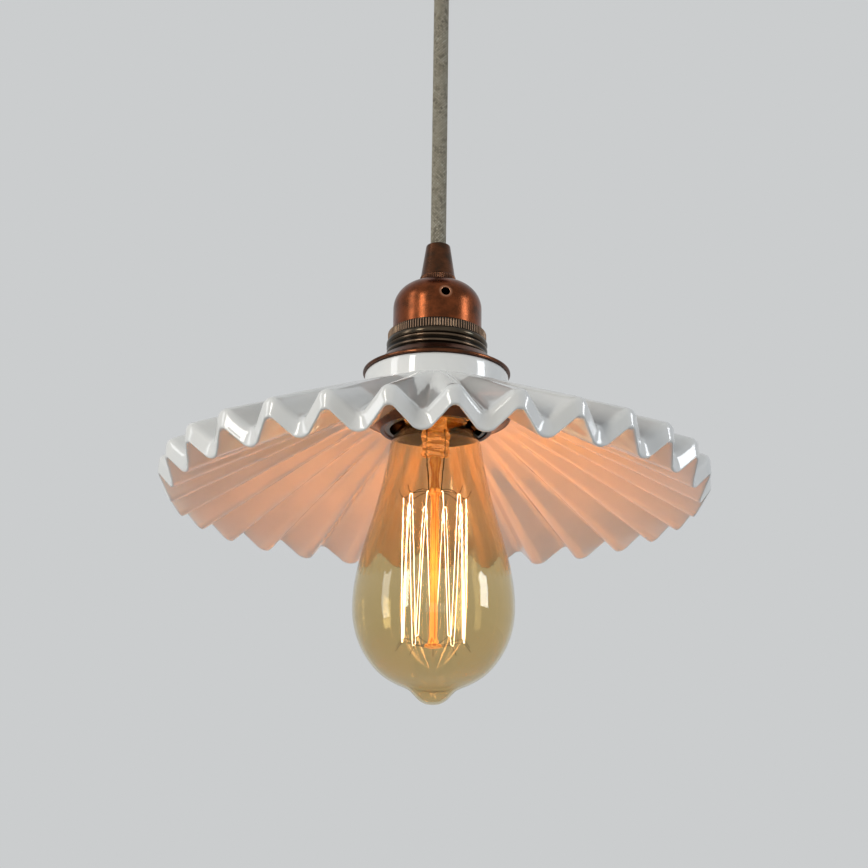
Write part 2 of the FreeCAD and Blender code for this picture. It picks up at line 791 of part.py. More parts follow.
def pleated_shade():
    radii = (sized("shade_diameter / 2 - valley_inset"), sized("shade_diameter / 2"))
    heights = (sized("valley_rise"), sized("peak_rise"))
    sharp = sized("crease_round")
    soft = sized("crest_round")
    neck = sized(ring_edge + " - neck_inset")
    neck_round = sized("neck_round")
    neck_foot = sized("shade_height - neck_height")
    top = sized("shade_height")
    lean = sized("rim_lean")
    drop = sized("rim_wall")
    bevel = sized("rim_bevel")
    face = math.hypot(lean, drop)

    def rim(inwards, down, crease_round, crest_round):
        """A zigzag that lies so far inwards along the slope, and down along the rim's face, from its edge."""
        ends = []
        for radius, height, corner_round in zip(radii, heights, (crease_round, crest_round)):
            slope = math.atan2(neck_foot - height, radius - neck)
            out = radius - inwards * math.cos(slope) - down * lean / face
            ends.append((out, height + inwards * math.sin(slope) - down * drop / face, corner_round))
        return zigzag(*ends)

    upper_edge = rim(bevel, 0, sharp, soft)
    lower_edge = rim(bevel, face, soft, sharp)
    neck_hoop = hoop(neck, neck_foot, upper_edge)
    seat_hoop = hoop(sized(ring_edge + " + seat_margin"), sized("shade_height - seat_depth"), lower_edge)
    loops = [
        hoop(neck - neck_round, top, upper_edge),
        hoop(neck, top - neck_round, upper_edge),
        neck_hoop,
        halfway(neck_hoop, upper_edge),
        upper_edge,
        rim(0, bevel, sharp, soft),
        rim(0, face - bevel, soft, sharp),
        lower_edge,
        halfway(lower_edge, seat_hoop),
        seat_hoop,
    ]
    faces = [Part.Face(Part.makePolygon([*loop, loop[0]])) for loop in (loops[0], loops[-1])]
    for near, far in zip(loops, loops[1:]):
        faces += band(near, far)
    skin = Part.Compound(faces)
    skin.sewShape()
    solid = Part.makeSolid(skin)
    if solid.Volume < 0:
        solid.reverse()
    hole = Part.makeCylinder(sized(skirt_radius + " + shade_bore_gap"), top)
    return solid.cut(hole).Solids[0]


shaped("porcelain_shade", pleated_shade(), Placement(Vector(0, 0, -sized(shade_foot)), Rotation()))

# Bulb tip contact: the solder button that the bulb touches the centre contact with

tip_plate = "tip_pin_length + tip_height - tip_gap"
tip = turned("bulb_tip_contact", [
    ("0", "0"),
    ("tip_pin_diameter / 2", "0"),
    ("tip_pin_diameter / 2", "tip_pin_length"),
    ("tip_diameter / 2", "tip_pin_length"),
    ("tip_diameter / 2 - tip_bevel", tip_plate),
    ("0", tip_plate),
])
lift(tip, f"-({bulb_top}) - ({tip_plate})")

# Bulb cap: the screw shell, with a black glass insulator on top

cap = turned("bulb_cap", [
    (cap_radius + " - cap_wall", "0"),
    (cap_radius, "0"),
    (cap_radius, "cap_height - cap_lip"),
    (cap_radius + " - cap_lip", "cap_height"),
    (cap_radius + " - 2 * cap_lip", "cap_height"),
    (cap_radius + " - 2 * cap_lip", "cap_height - cap_wall"),
    (cap_radius + " - cap_lip - cap_wall / 2", "cap_height - cap_wall"),
    (cap_radius + " - cap_wall", "cap_height - cap_lip - cap_wall / 2"),
])
lift(cap, f"-({cap_foot})")

pin_hole = "tip_pin_diameter / 2 + thread_gap"
insulator = turned("cap_insulator", [
    (pin_hole, "0"),
    (cap_radius + " - cap_lip", "0"),
    ("tip_diameter / 2", "insulator_height"),
    (pin_hole, "insulator_height"),
])
lift(insulator, f"-({cap_top})")

# Bulb glass: a thin blown envelope with a drawn tip, open at the neck where the stem closes it

bowl_bow = f"{glass_radius} - sqrt({glass_radius} * ({glass_radius} + {pip_radius}) / 2)"
glass_inside = glass_radius + " - glass_wall"
glass = turned("bulb_glass", [
    ("0", "0", "pip_tip_bow", LEFT),
    ("pip_waist_diameter / 2", "pip_waist_height", "pip_bow", RIGHT),
    (pip_radius, "pip_height", bowl_bow, LEFT),
    (glass_radius, widest_height, "flank_bow", LEFT),
    ("flank_diameter / 2", flank_height, "throat_bow", RIGHT),
    ("throat_diameter / 2", throat_height, "neck_bow", LEFT),
    (neck_radius, glass_length),
    (neck_radius, neck_top),
    (neck_radius + " - glass_wall", neck_top),
    (neck_radius + " - glass_wall", glass_length, "neck_bow", RIGHT),
    ("throat_diameter / 2 - glass_wall", throat_height, "throat_bow", LEFT),
    ("flank_diameter / 2 - glass_wall", flank_height, "flank_bow", RIGHT),
    (glass_inside, widest_height, round_corner(glass_inside), RIGHT),
    ("0", f"{widest_height} - ({glass_inside})"),
])
lift(glass, f"-({bulb_foot})")

# Glass stem: a flared tube that closes the neck, pinched flat round the lead wires

stem = new_body("glass_stem")
press = new_sketch(stem, "XY_Plane", "press")
trace(press, rectangle("-press_width / 2", "press_width / 2", "-press_wall / 2", "press_wall / 2"))
pad(stem, press, "press_length")
flare_radius = neck_radius + " - glass_wall - thread_gap"
revolve(stem, [
    ("0", "press_length / 2"),
    ("stem_diameter / 2", "press_length / 2"),
    ("stem_diameter / 2", "stem_length - 4 * flare_height"),
    (flare_radius, "stem_length - flare_height"),
    (flare_radius, "stem_length"),
    ("0", "stem_length"),
])
lift(stem, f"-({bulb_foot}) + {press_height}")

# Centre rod: a glass rod from the press, with a button for the upper hooks and a foot for the lower ones

rod_radius = "rod_diameter / 2"
button_foot = "rod_foot_drop + cage_height - button_wall / 2"
rod_length = "rod_foot_drop + cage_height + button_drop"
rod = turned("centre_rod", [
    ("0", "0"),
    ("rod_foot_diameter / 2", "0"),
    ("rod_foot_diameter / 2", "rod_foot_wall"),
    (rod_radius, "rod_foot_wall"),
    (rod_radius, button_foot),
    ("button_diameter / 2", button_foot),
    ("button_diameter / 2", button_foot + " + button_wall"),
    (rod_radius, button_foot + " + button_wall"),
    (rod_radius, rod_length),
    ("0", rod_length),
])
lift(rod, f"-({bulb_foot}) + {rod_foot_height}")

# Filament, its hooks and its two leads: thin wires as few-sided rods, so that they stay light

WIRE_SIDES = 5


def thin_rod(start, end, diameter):
    """A straight thin wire."""
    along = end - start
    lean = Rotation(UPRIGHT, along)
    corners = [
        start + lean.multVec(around(diameter / 2, 2 * math.pi * side / WIRE_SIDES, 0))
        for side in range(WIRE_SIDES)
    ]
    return Part.Face(Part.makePolygon(corners + corners[:1])).extrude(along)


def thin_wire(places, diameter):
    """A bent thin wire: one rod for each straight run, joined at the corners."""
    rods = [thin_rod(start, end, diameter) for start, end in zip(places, places[1:])]
    return rods[0].fuse(rods[1:]).removeSplitter() if len(rods) > 1 else rods[0]


hairpins = round(sized("hairpins"))
cage_step = 2 * math.pi / (hairpins + 1)
cage_radius = sized("cage_diameter / 2")
cage_high = sized(cage_top)
cage_low = sized(cage_foot)
wire_gap = sized("support_diameter")
upper_hooks = [around(cage_radius, k * cage_step, cage_high - wire_gap) for k in range(hairpins + 1)]
lower_hooks = [around(cage_radius, (k + 0.5) * cage_step, cage_low + wire_gap) for k in range(hairpins)]
strand = [upper_hooks[0]]
for lower, upper in zip(lower_hooks, upper_hooks[1:]):
    strand += [lower, upper]
bulb_place = Placement(Vector(0, 0, -sized(bulb_foot)), Rotation())
shaped("filament", thin_wire(strand, sized("filament_diameter")), bulb_place)

button = sized("button_diameter / 2")
foot = sized("rod_foot_diameter / 2")
foot_height = sized(rod_foot_height + " + rod_foot_wall / 2")
hook_tail = sized("support_tail")
support_thickness = sized("support_diameter")
hooks = []
for k in range(1, hairpins):
    angle = k * cage_step
    hooks.append(thin_wire([
        around(button, angle, cage_high),
        around(cage_radius, angle, cage_high),
        around(cage_radius + hook_tail / 2, angle, cage_high + hook_tail),
    ], support_thickness))
for k in range(hairpins):
    angle = (k + 0.5) * cage_step
    hooks.append(thin_wire([
        around(foot, angle, foot_height),
        around(cage_radius, angle, cage_low),
        around(cage_radius + hook_tail, angle, cage_low - hook_tail),
    ], support_thickness))
shaped("support_hooks", Part.Compound(hooks), bulb_place)

lead_thickness = sized("lead_diameter")
lead_side = sized("lead_spread / 2")
press_foot = sized(press_height)
leads = []
for side, hook in ((-1, upper_hooks[-1]), (1, upper_hooks[0])):
    clear = hook + UPRIGHT * (2 * lead_thickness)
    knee = Vector(lead_side * side, -button, clear.z)
    leads.append(thin_wire([Vector(lead_side * side, 0, press_foot), knee, clear], lead_thickness))
shaped("lead_wires", Part.Compound(leads), bulb_place)

# Every piece is checked before any file is written

document.recompute()
for item in document.Objects:
    if "Invalid" in item.State or "Error" in item.State:
        raise RuntimeError(f"{item.Label} failed: {item.State}")
kinds = ("PartDesign::Body", "Part::Cylinder", "Part::Feature")
pieces = [item for item in document.Objects if item.TypeId in kinds]
for piece in pieces:
    if piece.Shape.isNull() or not piece.Shape.isValid():
        raise RuntimeError(f"{piece.Label} has no sound solid")
for piece in pieces:
    piece.Shape.exportStep(f"parts/{piece.Label}.step")
print(len(pieces), "pieces")
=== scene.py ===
import math

import bmesh
import bpy
import numpy as np
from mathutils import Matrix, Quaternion, Vector


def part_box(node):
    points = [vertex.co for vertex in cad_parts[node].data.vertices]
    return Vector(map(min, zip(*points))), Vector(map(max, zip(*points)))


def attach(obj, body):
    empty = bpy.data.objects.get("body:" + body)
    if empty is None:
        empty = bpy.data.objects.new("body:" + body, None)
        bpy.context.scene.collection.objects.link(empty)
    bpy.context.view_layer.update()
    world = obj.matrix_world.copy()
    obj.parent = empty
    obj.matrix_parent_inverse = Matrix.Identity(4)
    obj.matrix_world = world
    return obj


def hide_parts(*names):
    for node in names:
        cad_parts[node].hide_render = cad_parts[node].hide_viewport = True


# A pleated porcelain pendant light. Sizes are in millimetres, and turn into metres where a mesh is made.

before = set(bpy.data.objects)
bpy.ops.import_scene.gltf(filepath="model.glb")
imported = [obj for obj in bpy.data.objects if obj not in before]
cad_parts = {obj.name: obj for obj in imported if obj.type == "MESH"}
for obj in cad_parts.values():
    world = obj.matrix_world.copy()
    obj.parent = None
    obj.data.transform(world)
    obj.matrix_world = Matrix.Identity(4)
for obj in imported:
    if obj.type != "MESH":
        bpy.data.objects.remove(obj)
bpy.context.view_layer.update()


# Camera: it stands 0.70 m from the lamp and a little below it, so that it looks up under the shade. The
# foot of the shade, on the lamp's axis, lies just right of the picture's middle and well below it.

MM = 0.001
PICTURE = 868
FOCAL = 1750.0
SENSOR = 36
LOOK_UP = math.radians(14.99)
ROLL = math.radians(0.77)
STAND_OFF = 700.6
SHADE_HEIGHT = 57.1
FOOT_IN_PICTURE = (0.8, 76.6)


def high(node):
    """The highest level of a solid, in millimetres."""
    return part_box(node)[1].z / MM


def stand(name, data):
    """Puts a mesh, a light or a camera into the scene as an object."""
    thing = bpy.data.objects.new(name, data)
    bpy.context.scene.collection.objects.link(thing)
    return thing


# The line of sight is turned until the foot of the shade falls on its place in the picture.
ahead = Vector((0, math.cos(LOOK_UP), math.sin(LOOK_UP)))
aside = Vector((1, 0, 0))
above = aside.cross(ahead)
right = math.cos(ROLL) * FOOT_IN_PICTURE[0] + math.sin(ROLL) * FOOT_IN_PICTURE[1]
below = math.cos(ROLL) * FOOT_IN_PICTURE[1] - math.sin(ROLL) * FOOT_IN_PICTURE[0]
sight = FOCAL * ahead - right * aside + below * above

lens = bpy.data.cameras.new("camera")
lens.sensor_width = SENSOR
lens.lens = FOCAL * SENSOR / PICTURE
lens.clip_start = 0.01
camera = stand("camera", lens)
camera.location = (Vector((0, 0, high("porcelain_shade") - SHADE_HEIGHT)) - STAND_OFF * ahead) * MM
camera.rotation_mode = "QUATERNION"
camera.rotation_quaternion = sight.to_track_quat("-Z", "Y") @ Quaternion((0, 0, 1), ROLL)
bpy.context.scene.camera = camera
bpy.context.scene.view_settings.view_transform = "Standard"


# Room: a plain pale studio, as the camera, mirrored rays and rays through glass see it. It sheds a dimmer
# grey on the lamp, darkest from below. Of its four soft panels two stand on the left, one on the right, and
# a faint one in front.


class Value:
    """A number, colour or vector on its way through a shader. Sums on numbers add Math nodes."""

    def __init__(self, shader, socket):
        self.shader = shader
        self.socket = socket

    def math(self, operation, first, second):
        """What an operation makes of two numbers."""
        return self.shader.put("ShaderNodeMath", {"operation": operation}, {0: first, 1: second})

    def __add__(self, other):
        return self.math("ADD", self, other)

    def __sub__(self, other):
        return self.math("SUBTRACT", self, other)

    def __rsub__(self, other):
        return self.math("SUBTRACT", other, self)

    def __mul__(self, other):
        return self.math("MULTIPLY", self, other)

    def __truediv__(self, other):
        return self.math("DIVIDE", self, other)

    def __pow__(self, other):
        return self.math("POWER", self, other)

    __radd__ = __add__
    __rmul__ = __mul__


class Shader:
    """The nodes of a material, a light or the world, written as expressions."""

    def __init__(self, owner):
        owner.use_nodes = True
        self.tree = owner.node_tree
        self.tree.nodes.clear()

    def put(self, kind, settings={}, sockets={}, out=0):
        """Adds a node of any type: its settings first, then the values or links of its sockets."""
        node = self.tree.nodes.new(kind)
        for name, setting in settings.items():
            if name == "stops":
                ramp = node.color_ramp
                while len(ramp.elements) < len(setting):
                    ramp.elements.new(1)
                for stop, (place, colour) in zip(ramp.elements, setting):
                    stop.position = place
                    stop.color = colour if isinstance(colour, tuple) else (colour, colour, colour, 1)
            else:
                setattr(node, name, setting)
        for name, value in sockets.items():
            if isinstance(value, Value):
                self.tree.links.new(value.socket, node.inputs[name])
            else:
                node.inputs[name].default_value = value
        return Value(self, node.outputs[out]) if node.outputs else None

    def ramp(self, value, stops):
        """A soft step or a run of colours along a value."""
        return self.put("ShaderNodeValToRGB", {"stops": stops}, {"Fac": value})

    def blend(self, share, one, other):
        """One colour turning into the other as the share goes from 0 to 1."""
        return self.put("ShaderNodeMix", {"data_type": "RGBA"}, {0: share, 6: one, 7: other}, 2)

    def noise(self, scale, detail, place=None, **sockets):
        """A cloudy pattern from 0 to 1, with so many clouds to the metre of its place, or else to the box of
        the piece."""
        if place:
            sockets["Vector"] = place
        return self.put("ShaderNodeTexNoise", {}, {"Scale": scale, "Detail": detail, **sockets})

    def bump(self, strength, distance, height):
        """A normal that leans as a relief of this height and distance would make it."""
        return self.put("ShaderNodeBump", {}, {"Strength": strength, "Distance": distance, "Height": height})

    def spot(self, stretch=None):
        """Where a point lies on its piece, stretched by a factor for each axis."""
        place = self.put("ShaderNodeTexCoord", out="Object")
        return self.put("ShaderNodeMapping", {}, {0: place, "Scale": stretch}) if stretch else place

    def part(self, vector, axis):
        """The part of a vector along X, Y or Z."""
        return self.put("ShaderNodeSeparateXYZ", {}, {0: vector}, axis)

    def attribute(self, label):
        """The number that each point of the mesh has under a label."""
        return self.put("ShaderNodeAttribute", {"attribute_name": label}, out="Fac")

    def ray(self, kind):
        """1 for rays of this kind."""
        return self.put("ShaderNodeLightPath", out=f"Is {kind} Ray")

    def principled(self, sockets):
        """The shader of every solid finish."""
        return self.put("ShaderNodeBsdfPrincipled", {}, sockets)

    def either(self, share, first, second):
        """The first shader where the share is 0, and the second where it is 1."""
        return self.put("ShaderNodeMixShader", {}, {0: share, 1: first, 2: second})

    def show(self, surface, output="ShaderNodeOutputMaterial"):
        """Makes this the surface, as which the material or the world is seen."""
        self.put(output, {}, {"Surface": surface})


def new_finish(name):
    """A material, and the shader that its nodes are written in."""
    material = bpy.data.materials.new(name)
    return material, Shader(material)


def tint(red, green, blue):
    """A colour as a screen shows it, from 0 to 255, turned into the light that it stands for."""
    screen = np.array([red, green, blue]) / 255
    light = np.where(screen <= 0.04045, screen / 12.92, ((screen + 0.055) / 1.055) ** 2.4)
    return (*(float(part) for part in light), 1)


def pale_share(shader):
    """1 for rays from the camera, off metal or glaze and through glass, which all see the pale studio."""
    seen, mirrored, through = (shader.ray(kind) for kind in ("Camera", "Glossy", "Transmission"))
    return seen.math("MAXIMUM", seen.math("MAXIMUM", seen, mirrored), through)


def low(node):
    """The lowest level of a solid, in millimetres."""
    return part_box(node)[0].z / MM


WALL = tint(203, 205, 206)
DIM_WALL = tint(142, 144, 146)
SHED_LIGHT = [(0.0, tint(80, 81, 83)), (0.42, DIM_WALL), (0.55, tint(132, 134, 137)), (1.0, DIM_WALL)]
FLOOR_BELOW = -1.8
FLOOR_REACH = 9

world = bpy.data.worlds.new("studio")
bpy.context.scene.world = world
sky = Shader(world)
height = sky.part(sky.put("ShaderNodeTexCoord", out="Generated"), "Z")
sky_colour = sky.blend(pale_share(sky), sky.ramp(height * 0.5 + 0.5, SHED_LIGHT), WALL)
sky.show(sky.put("ShaderNodeBackground", {}, {"Color": sky_colour, "Strength": 1.0}), "ShaderNodeOutputWorld")


def panel(name, place, size, strength, colour):
    """A soft rectangular light that points at the middle of the lamp."""
    data = bpy.data.lights.new(name, "AREA")
    data.shape = "RECTANGLE"
    data.size, data.size_y = size
    data.energy = strength
    data.color = colour[:3]
    light = stand(name, data)
    light.location = place
    middle = Vector((0, 0, low("porcelain_shade") * MM))
    light.rotation_euler = (middle - light.location).to_track_quat("-Z", "Y").to_euler()


panel("left_window", (-1.18, -0.41, 0.02), (0.26, 1.3), 4.0, tint(252, 253, 255))
panel("left_lamp", (-0.76, -0.93, -0.05), (0.18, 0.8), 5.5, tint(255, 250, 240))
panel("right_window", (1.2, -0.33, -0.02), (0.3, 0.6), 5.5, tint(246, 250, 255))
panel("front_light", (0.1, -1.6, -0.55), (0.9, 0.3), 0.8, tint(255, 255, 255))

floor_mesh = bpy.data.meshes.new("floor")
floor_mesh.from_pydata([(x * FLOOR_REACH, y * FLOOR_REACH, FLOOR_BELOW)
                        for x, y in ((-1, -1), (1, -1), (1, 1), (-1, 1))], [], [(0, 1, 2, 3)])
floor = stand("floor", floor_mesh)
floor_paint, paint = new_finish("floor")
matt = paint.principled({
    "Base Color": paint.blend(paint.noise(60.0, 3.0), tint(208, 208, 206), tint(212, 212, 210)),
    "Roughness": 0.9})
pale = paint.put("ShaderNodeEmission", {}, {"Color": WALL, "Strength": 1.0})
paint.show(paint.either(pale_share(paint) * 0.9, matt, pale))
floor_mesh.materials.append(floor_paint)


# Cord: two conductors in a round sleeve, braided from 16 linen yarns each way. It is held in the mouths of
# the two cone grips and pulled straight by the weight of the lamp.

CORD_DIAMETER = 6.6
CORD_TOP = high("cord") - CORD_DIAMETER / 2
CORD_FOOT = low("cord") + CORD_DIAMETER / 2
CORD_ROUTE = [(0, 0, -0.0477), (0, 0, -0.0791), (0, 0, -0.1105), (0, 0, -0.1419), (0, 0, -0.1733)]
YARNS = 16
YARN_LAY = 21.0
YARN_DEPTH = 0.38
YARN_TONES = 97
ROUND_END = 3
BRAID_ROWS = 440
BRAID_COLUMNS = 160


def full_turn(columns):
    """Angles in even steps once round, without the last."""
    return np.linspace(0, 2 * np.pi, columns, endpoint=False)


def skin(name, *grids, body, replaces, slot, finish, sharp=None, attributes={}, kept=None):
    """One piece from grids of points, in the place of a solid. A grid is (rows, columns, 3) and closes round
    its columns. Where its first and last rows are alike it closes that way too, and a row whose points
    coincide is a pole. Kept says which cells of the first grid have a face."""
    points = []
    faces = []
    start = 0
    for grid in grids:
        rows, columns = grid.shape[:2]
        number = start + np.arange(rows * columns).reshape(rows, columns)
        beside = np.roll(number, -1, axis=1)
        cells = np.stack([number[:-1], beside[:-1], beside[1:], number[1:]], axis=-1)
        faces.append(cells[kept] if kept is not None and not start else cells.reshape(-1, 4))
        points.append(grid.reshape(-1, 3))
        start += rows * columns
    mesh = bpy.data.meshes.new(name)
    mesh.from_pydata((np.concatenate(points) * MM).tolist(), [], np.concatenate(faces).tolist())
    for label, values in attributes.items():
        layer = mesh.attributes.new(label, "FLOAT", "POINT")
        layer.data.foreach_set("value", values.ravel().astype(np.float32))
    shape = bmesh.new()
    shape.from_mesh(mesh)
    bmesh.ops.remove_doubles(shape, verts=shape.verts, dist=1e-7)
    bmesh.ops.recalc_face_normals(shape, faces=shape.faces)
    shape.to_mesh(mesh)
    shape.free()
    mesh.shade_smooth()
    if sharp:
        mesh.set_sharp_from_angle(angle=math.radians(sharp))
    piece = stand(name, mesh)
    mesh.materials.append(finish)
    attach(piece, body)
    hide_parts(replaces)
    return piece


def braided_sleeve(rows, columns):
    """The sleeve's surface. Yarn families wind both ways: u and v count the yarns of each along the surface,
    u = N (angle / 2 pi + length / lay) and v the same with a minus. A yarn is a half circle across its
    width, and rises and sinks by a sine along it, so that it goes over one and under the next."""
    angle = full_turn(columns)
    along = np.linspace(0, 1, rows)[:, None]
    reach = CORD_TOP - CORD_FOOT + CORD_DIAMETER
    level = CORD_FOOT - CORD_DIAMETER / 2 + reach * along
    u = YARNS * (angle / (2 * np.pi) + level / YARN_LAY)
    v = YARNS * (angle / (2 * np.pi) - level / YARN_LAY)
    whole_u, whole_v = np.floor(u), np.floor(v)
    round_u = np.sqrt(1 - (2 * (u - whole_u) - 1) ** 2)
    round_v = np.sqrt(1 - (2 * (v - whole_v) - 1) ** 2)
    high_u = round_u * (0.6 + 0.4 * np.sin(np.pi * (v + whole_u)))
    high_v = round_v * (0.6 - 0.4 * np.sin(np.pi * (u + whole_v)))
    rise = np.maximum(high_u, high_v)
    end = np.clip(np.minimum(level - CORD_FOOT, CORD_TOP - level), -CORD_DIAMETER / 2, 0)
    hollow = YARN_DEPTH * (1 - rise) * (end > -ROUND_END)
    radius = np.maximum(np.sqrt(np.maximum((CORD_DIAMETER / 2) ** 2 - end ** 2, 0)) - hollow, 0)
    grid = np.stack([radius * np.cos(angle), radius * np.sin(angle), level + 0 * angle], axis=-1)
    upper = high_u >= high_v
    yarn = np.where(upper, whole_u % YARNS, YARNS + whole_v % YARNS).astype(int)
    part = np.where(upper, whole_v, whole_u).astype(int) % YARN_TONES
    return grid, rise, yarn, part


grid, rise, yarn, part = braided_sleeve(BRAID_ROWS, BRAID_COLUMNS)
chance = np.random.default_rng(7)
cell_tone = chance.random((2 * YARNS, YARN_TONES))
yarn_tone = 0.35 * chance.random(2 * YARNS)[yarn] + 0.65 * cell_tone[yarn, part]

linen, cloth = new_finish("linen_braid")
fibre = cloth.noise(5200.0, 3.0)
yarn_colour = cloth.ramp(cloth.attribute("yarn_tone"), [
    (0.0, tint(84, 78, 66)), (0.2, tint(122, 115, 98)), (0.38, tint(160, 153, 134)),
    (0.8, tint(184, 178, 160)), (1.0, tint(206, 201, 184))])
yarn_colour = cloth.blend(fibre * 0.5, yarn_colour, tint(140, 132, 114))
# Painted shade: the sleeve is darkened where the yarns sink between their neighbours.
painted_shade_between_yarns = cloth.ramp(cloth.attribute("yarn_rise"), [(0.35, 0.75), (0.8, 0.0)])
cloth.show(cloth.principled({
    "Base Color": cloth.blend(painted_shade_between_yarns, yarn_colour, tint(58, 54, 46)), "Roughness": 0.92,
    "Sheen Weight": 0.25, "Normal": cloth.bump(0.5, 0.0002, fibre)}))

route = bpy.data.curves.new("cord_route", "CURVE")
route.dimensions = "3D"
spline = route.splines.new("NURBS")
spline.points.add(len(CORD_ROUTE) - 1)
for point, place in zip(spline.points, CORD_ROUTE):
    point.co = (*place, 1)
spline.order_u = 3
spline.use_endpoint_u = True
spline.resolution_u = 24
route_line = bpy.data.objects.new("cord_route", route)
line = bpy.data.meshes.new_from_object(route_line)
bpy.data.objects.remove(route_line)

cord = skin("woven_cord", grid, body="hanging_cord", replaces="cord", slot="cord_sheath", finish=linen,
            attributes={"yarn_tone": yarn_tone, "yarn_rise": rise})


# Ceiling rose: a spun cup of brushed copper, browned with age, that covers a steel bar. It is drawn up
# against the ceiling by the cone grip below it.

CUP_RADIUS = 50
CUP_WALL = 1.2
CUP_ROUND = 11
CUP_EDGE = 0.4
CEILING_GAP = 0.05
NIPPLE_HOLE = 5.05
BRUSH_LINES = 9000
BRUSH_ROUND = 40
BRUSH_STRAIGHT = (300, 6000, 6000)


def around(radius, angle, level):
    """The place at a radius, at an angle from the front towards the right, and at a level."""
    return np.stack([radius * np.sin(angle), -radius * np.cos(angle), level + 0 * angle], axis=-1)


def lathe(profile, columns, close=True):
    """A grid turned about the upright axis: each row goes round at the radius and height of a profile's
    point. A closed profile has its first point again at the end."""
    outline = np.array(profile + profile[:1] if close else profile, float)
    return around(outline[:, :1], full_turn(columns), outline[:, 1:])


def rounded_outline(corners, fine):
    """A closed outline from corners (radius, height, round): each corner that has a round becomes an arc that
    touches both its sides, with a point for each fine step."""
    places = [np.array(corner[:2], float) for corner in corners]
    outline = []
    for number, corner in enumerate(places):
        before, after = places[number - 1], places[(number + 1) % len(places)]
        back, on = before - corner, after - corner
        far = min(np.linalg.norm(back), np.linalg.norm(on))
        back, on = back / np.linalg.norm(back), on / np.linalg.norm(on)
        half = math.acos(np.clip(back @ on, -1, 1)) / 2
        bend = corners[number][2] if len(corners[number]) > 2 else 0
        reach = min(bend / math.tan(half), 0.48 * far) if bend else 0
        if not reach:
            outline.append(corner)
            continue
        bend = reach * math.tan(half)
        middle = corner + (back + on) / np.linalg.norm(back + on) * bend / math.sin(half)
        steps = max(3, int((math.pi - 2 * half) * bend / fine) + 2)
        for step in np.linspace(-1, 1, steps):
            turn = step * (math.pi / 2 - half)
            side = (on - back) / np.linalg.norm(on - back)
            inward = -(back + on) / np.linalg.norm(back + on)
            outline.append(middle + bend * (inward * math.cos(turn) + side * math.sin(turn)))
    return [tuple(place) for place in outline]


def metal(name, colour, dark, rough, lines=0.5, patina=None, turned=True, worn=None, crest_wear_and_highlight=None):
    """Metal that was brushed as it turned, or else along, with tarnish on it in soft clouds. Worn is the
    middle and the reach of a place rubbed pale. With a colour for its ridges the metal gets painted shade,
    nearly black where the attribute groove is 1, and where that is below 0 a painted highlight in that
    colour, which also stands for rubbed wear."""
    material, work = new_finish(name)
    place = work.spot()
    if turned:
        x, y, z = (work.part(place, axis) for axis in "XYZ")
        outwards = (x * x + y * y) ** 0.5
        brushed = work.put("ShaderNodeCombineXYZ", {}, {
            "X": outwards * BRUSH_LINES + x * BRUSH_ROUND, "Y": y * BRUSH_ROUND, "Z": z * BRUSH_LINES})
    else:
        brushed = work.spot(BRUSH_STRAIGHT)
    brushing = work.noise(1.0, 2.0, brushed)
    clouds = work.noise(160.0, 5.0, place, Roughness=0.6)
    tarnish = work.ramp(clouds * 0.75 + work.noise(1500.0, 2.0, place) * 0.25, [(0.4, 0.0), (0.7, 1.0)])
    paint = work.blend(tarnish, colour, dark)
    if patina:
        paint = work.blend(work.ramp(clouds, [(0.5, 0.0), (0.72, 0.5)]), paint, patina)
    paint = work.blend(brushing * lines, paint, dark)
    if worn:
        apart = work.put("ShaderNodeVectorMath", {"operation": "DISTANCE"}, {0: place, 1: worn[0]}, "Value")
        rubbed = work.ramp(apart / worn[1], [(0.6, 0.75), (1.0, 0.0)])
        paint = work.blend(rubbed, paint, tint(206, 150, 118))
    # Painted shade and highlight: the grooves of knurls and threads are painted nearly black, and their
    # ridges a paler colour that is partly painted highlight and partly rubbed wear.
    if crest_wear_and_highlight:
        groove = work.attribute("groove")
        paint = work.blend(work.ramp(groove, [(0.15, 0.0), (0.7, 0.95)]), paint, tint(22, 18, 15))
        crest = work.ramp(groove * -1, [(0.05, 0.0), (0.5, 1.0)])
        paint = work.blend(crest, paint, crest_wear_and_highlight)
    roughness = rough - 0.06 + brushing * 0.1 + tarnish * 0.03
    work.show(work.principled({
        "Base Color": paint, "Metallic": 1 - crest * 0.5 if crest_wear_and_highlight else 1.0,
        "Roughness": roughness + crest * 0.2 if crest_wear_and_highlight else roughness,
        "Normal": work.bump(0.35 * lines, 0.00004, brushing)}))
    return material


antique_copper = metal("antique_copper", tint(138, 79, 50), tint(92, 50, 31), 0.27, patina=tint(70, 50, 36))
# Painted shade: a darker copy of the antique copper, for the rings that lie in shade under the dome.
shaded_ring_copper = metal("shaded_ring_copper", tint(112, 67, 43), tint(72, 44, 30), 0.25, patina=tint(62, 50, 40))
dark_copper = metal("dark_copper", tint(104, 66, 45), tint(54, 36, 26), 0.28, lines=0.3,
                    patina=tint(66, 60, 50), crest_wear_and_highlight=tint(112, 70, 48))
zinc_steel = metal("zinc_steel", tint(190, 192, 194), tint(150, 153, 156), 0.36, turned=False)
bare_brass = metal("bare_brass", tint(206, 170, 104), tint(160, 122, 66), 0.32, turned=False)

cup_foot = low("ceiling_cup")
cup = rounded_outline([
    (NIPPLE_HOLE, cup_foot), (CUP_RADIUS, cup_foot, CUP_ROUND), (CUP_RADIUS, -CEILING_GAP, CUP_EDGE),
    (CUP_RADIUS - CUP_WALL, -CEILING_GAP, CUP_EDGE),
    (CUP_RADIUS - CUP_WALL, cup_foot + CUP_WALL, CUP_ROUND - CUP_WALL),
    (NIPPLE_HOLE, cup_foot + CUP_WALL)], 0.6)
skin("spun_ceiling_cup", lathe(cup, 256), body="ceiling_rose", replaces="ceiling_cup",
     slot="antique_copper", finish=antique_copper, sharp=40)


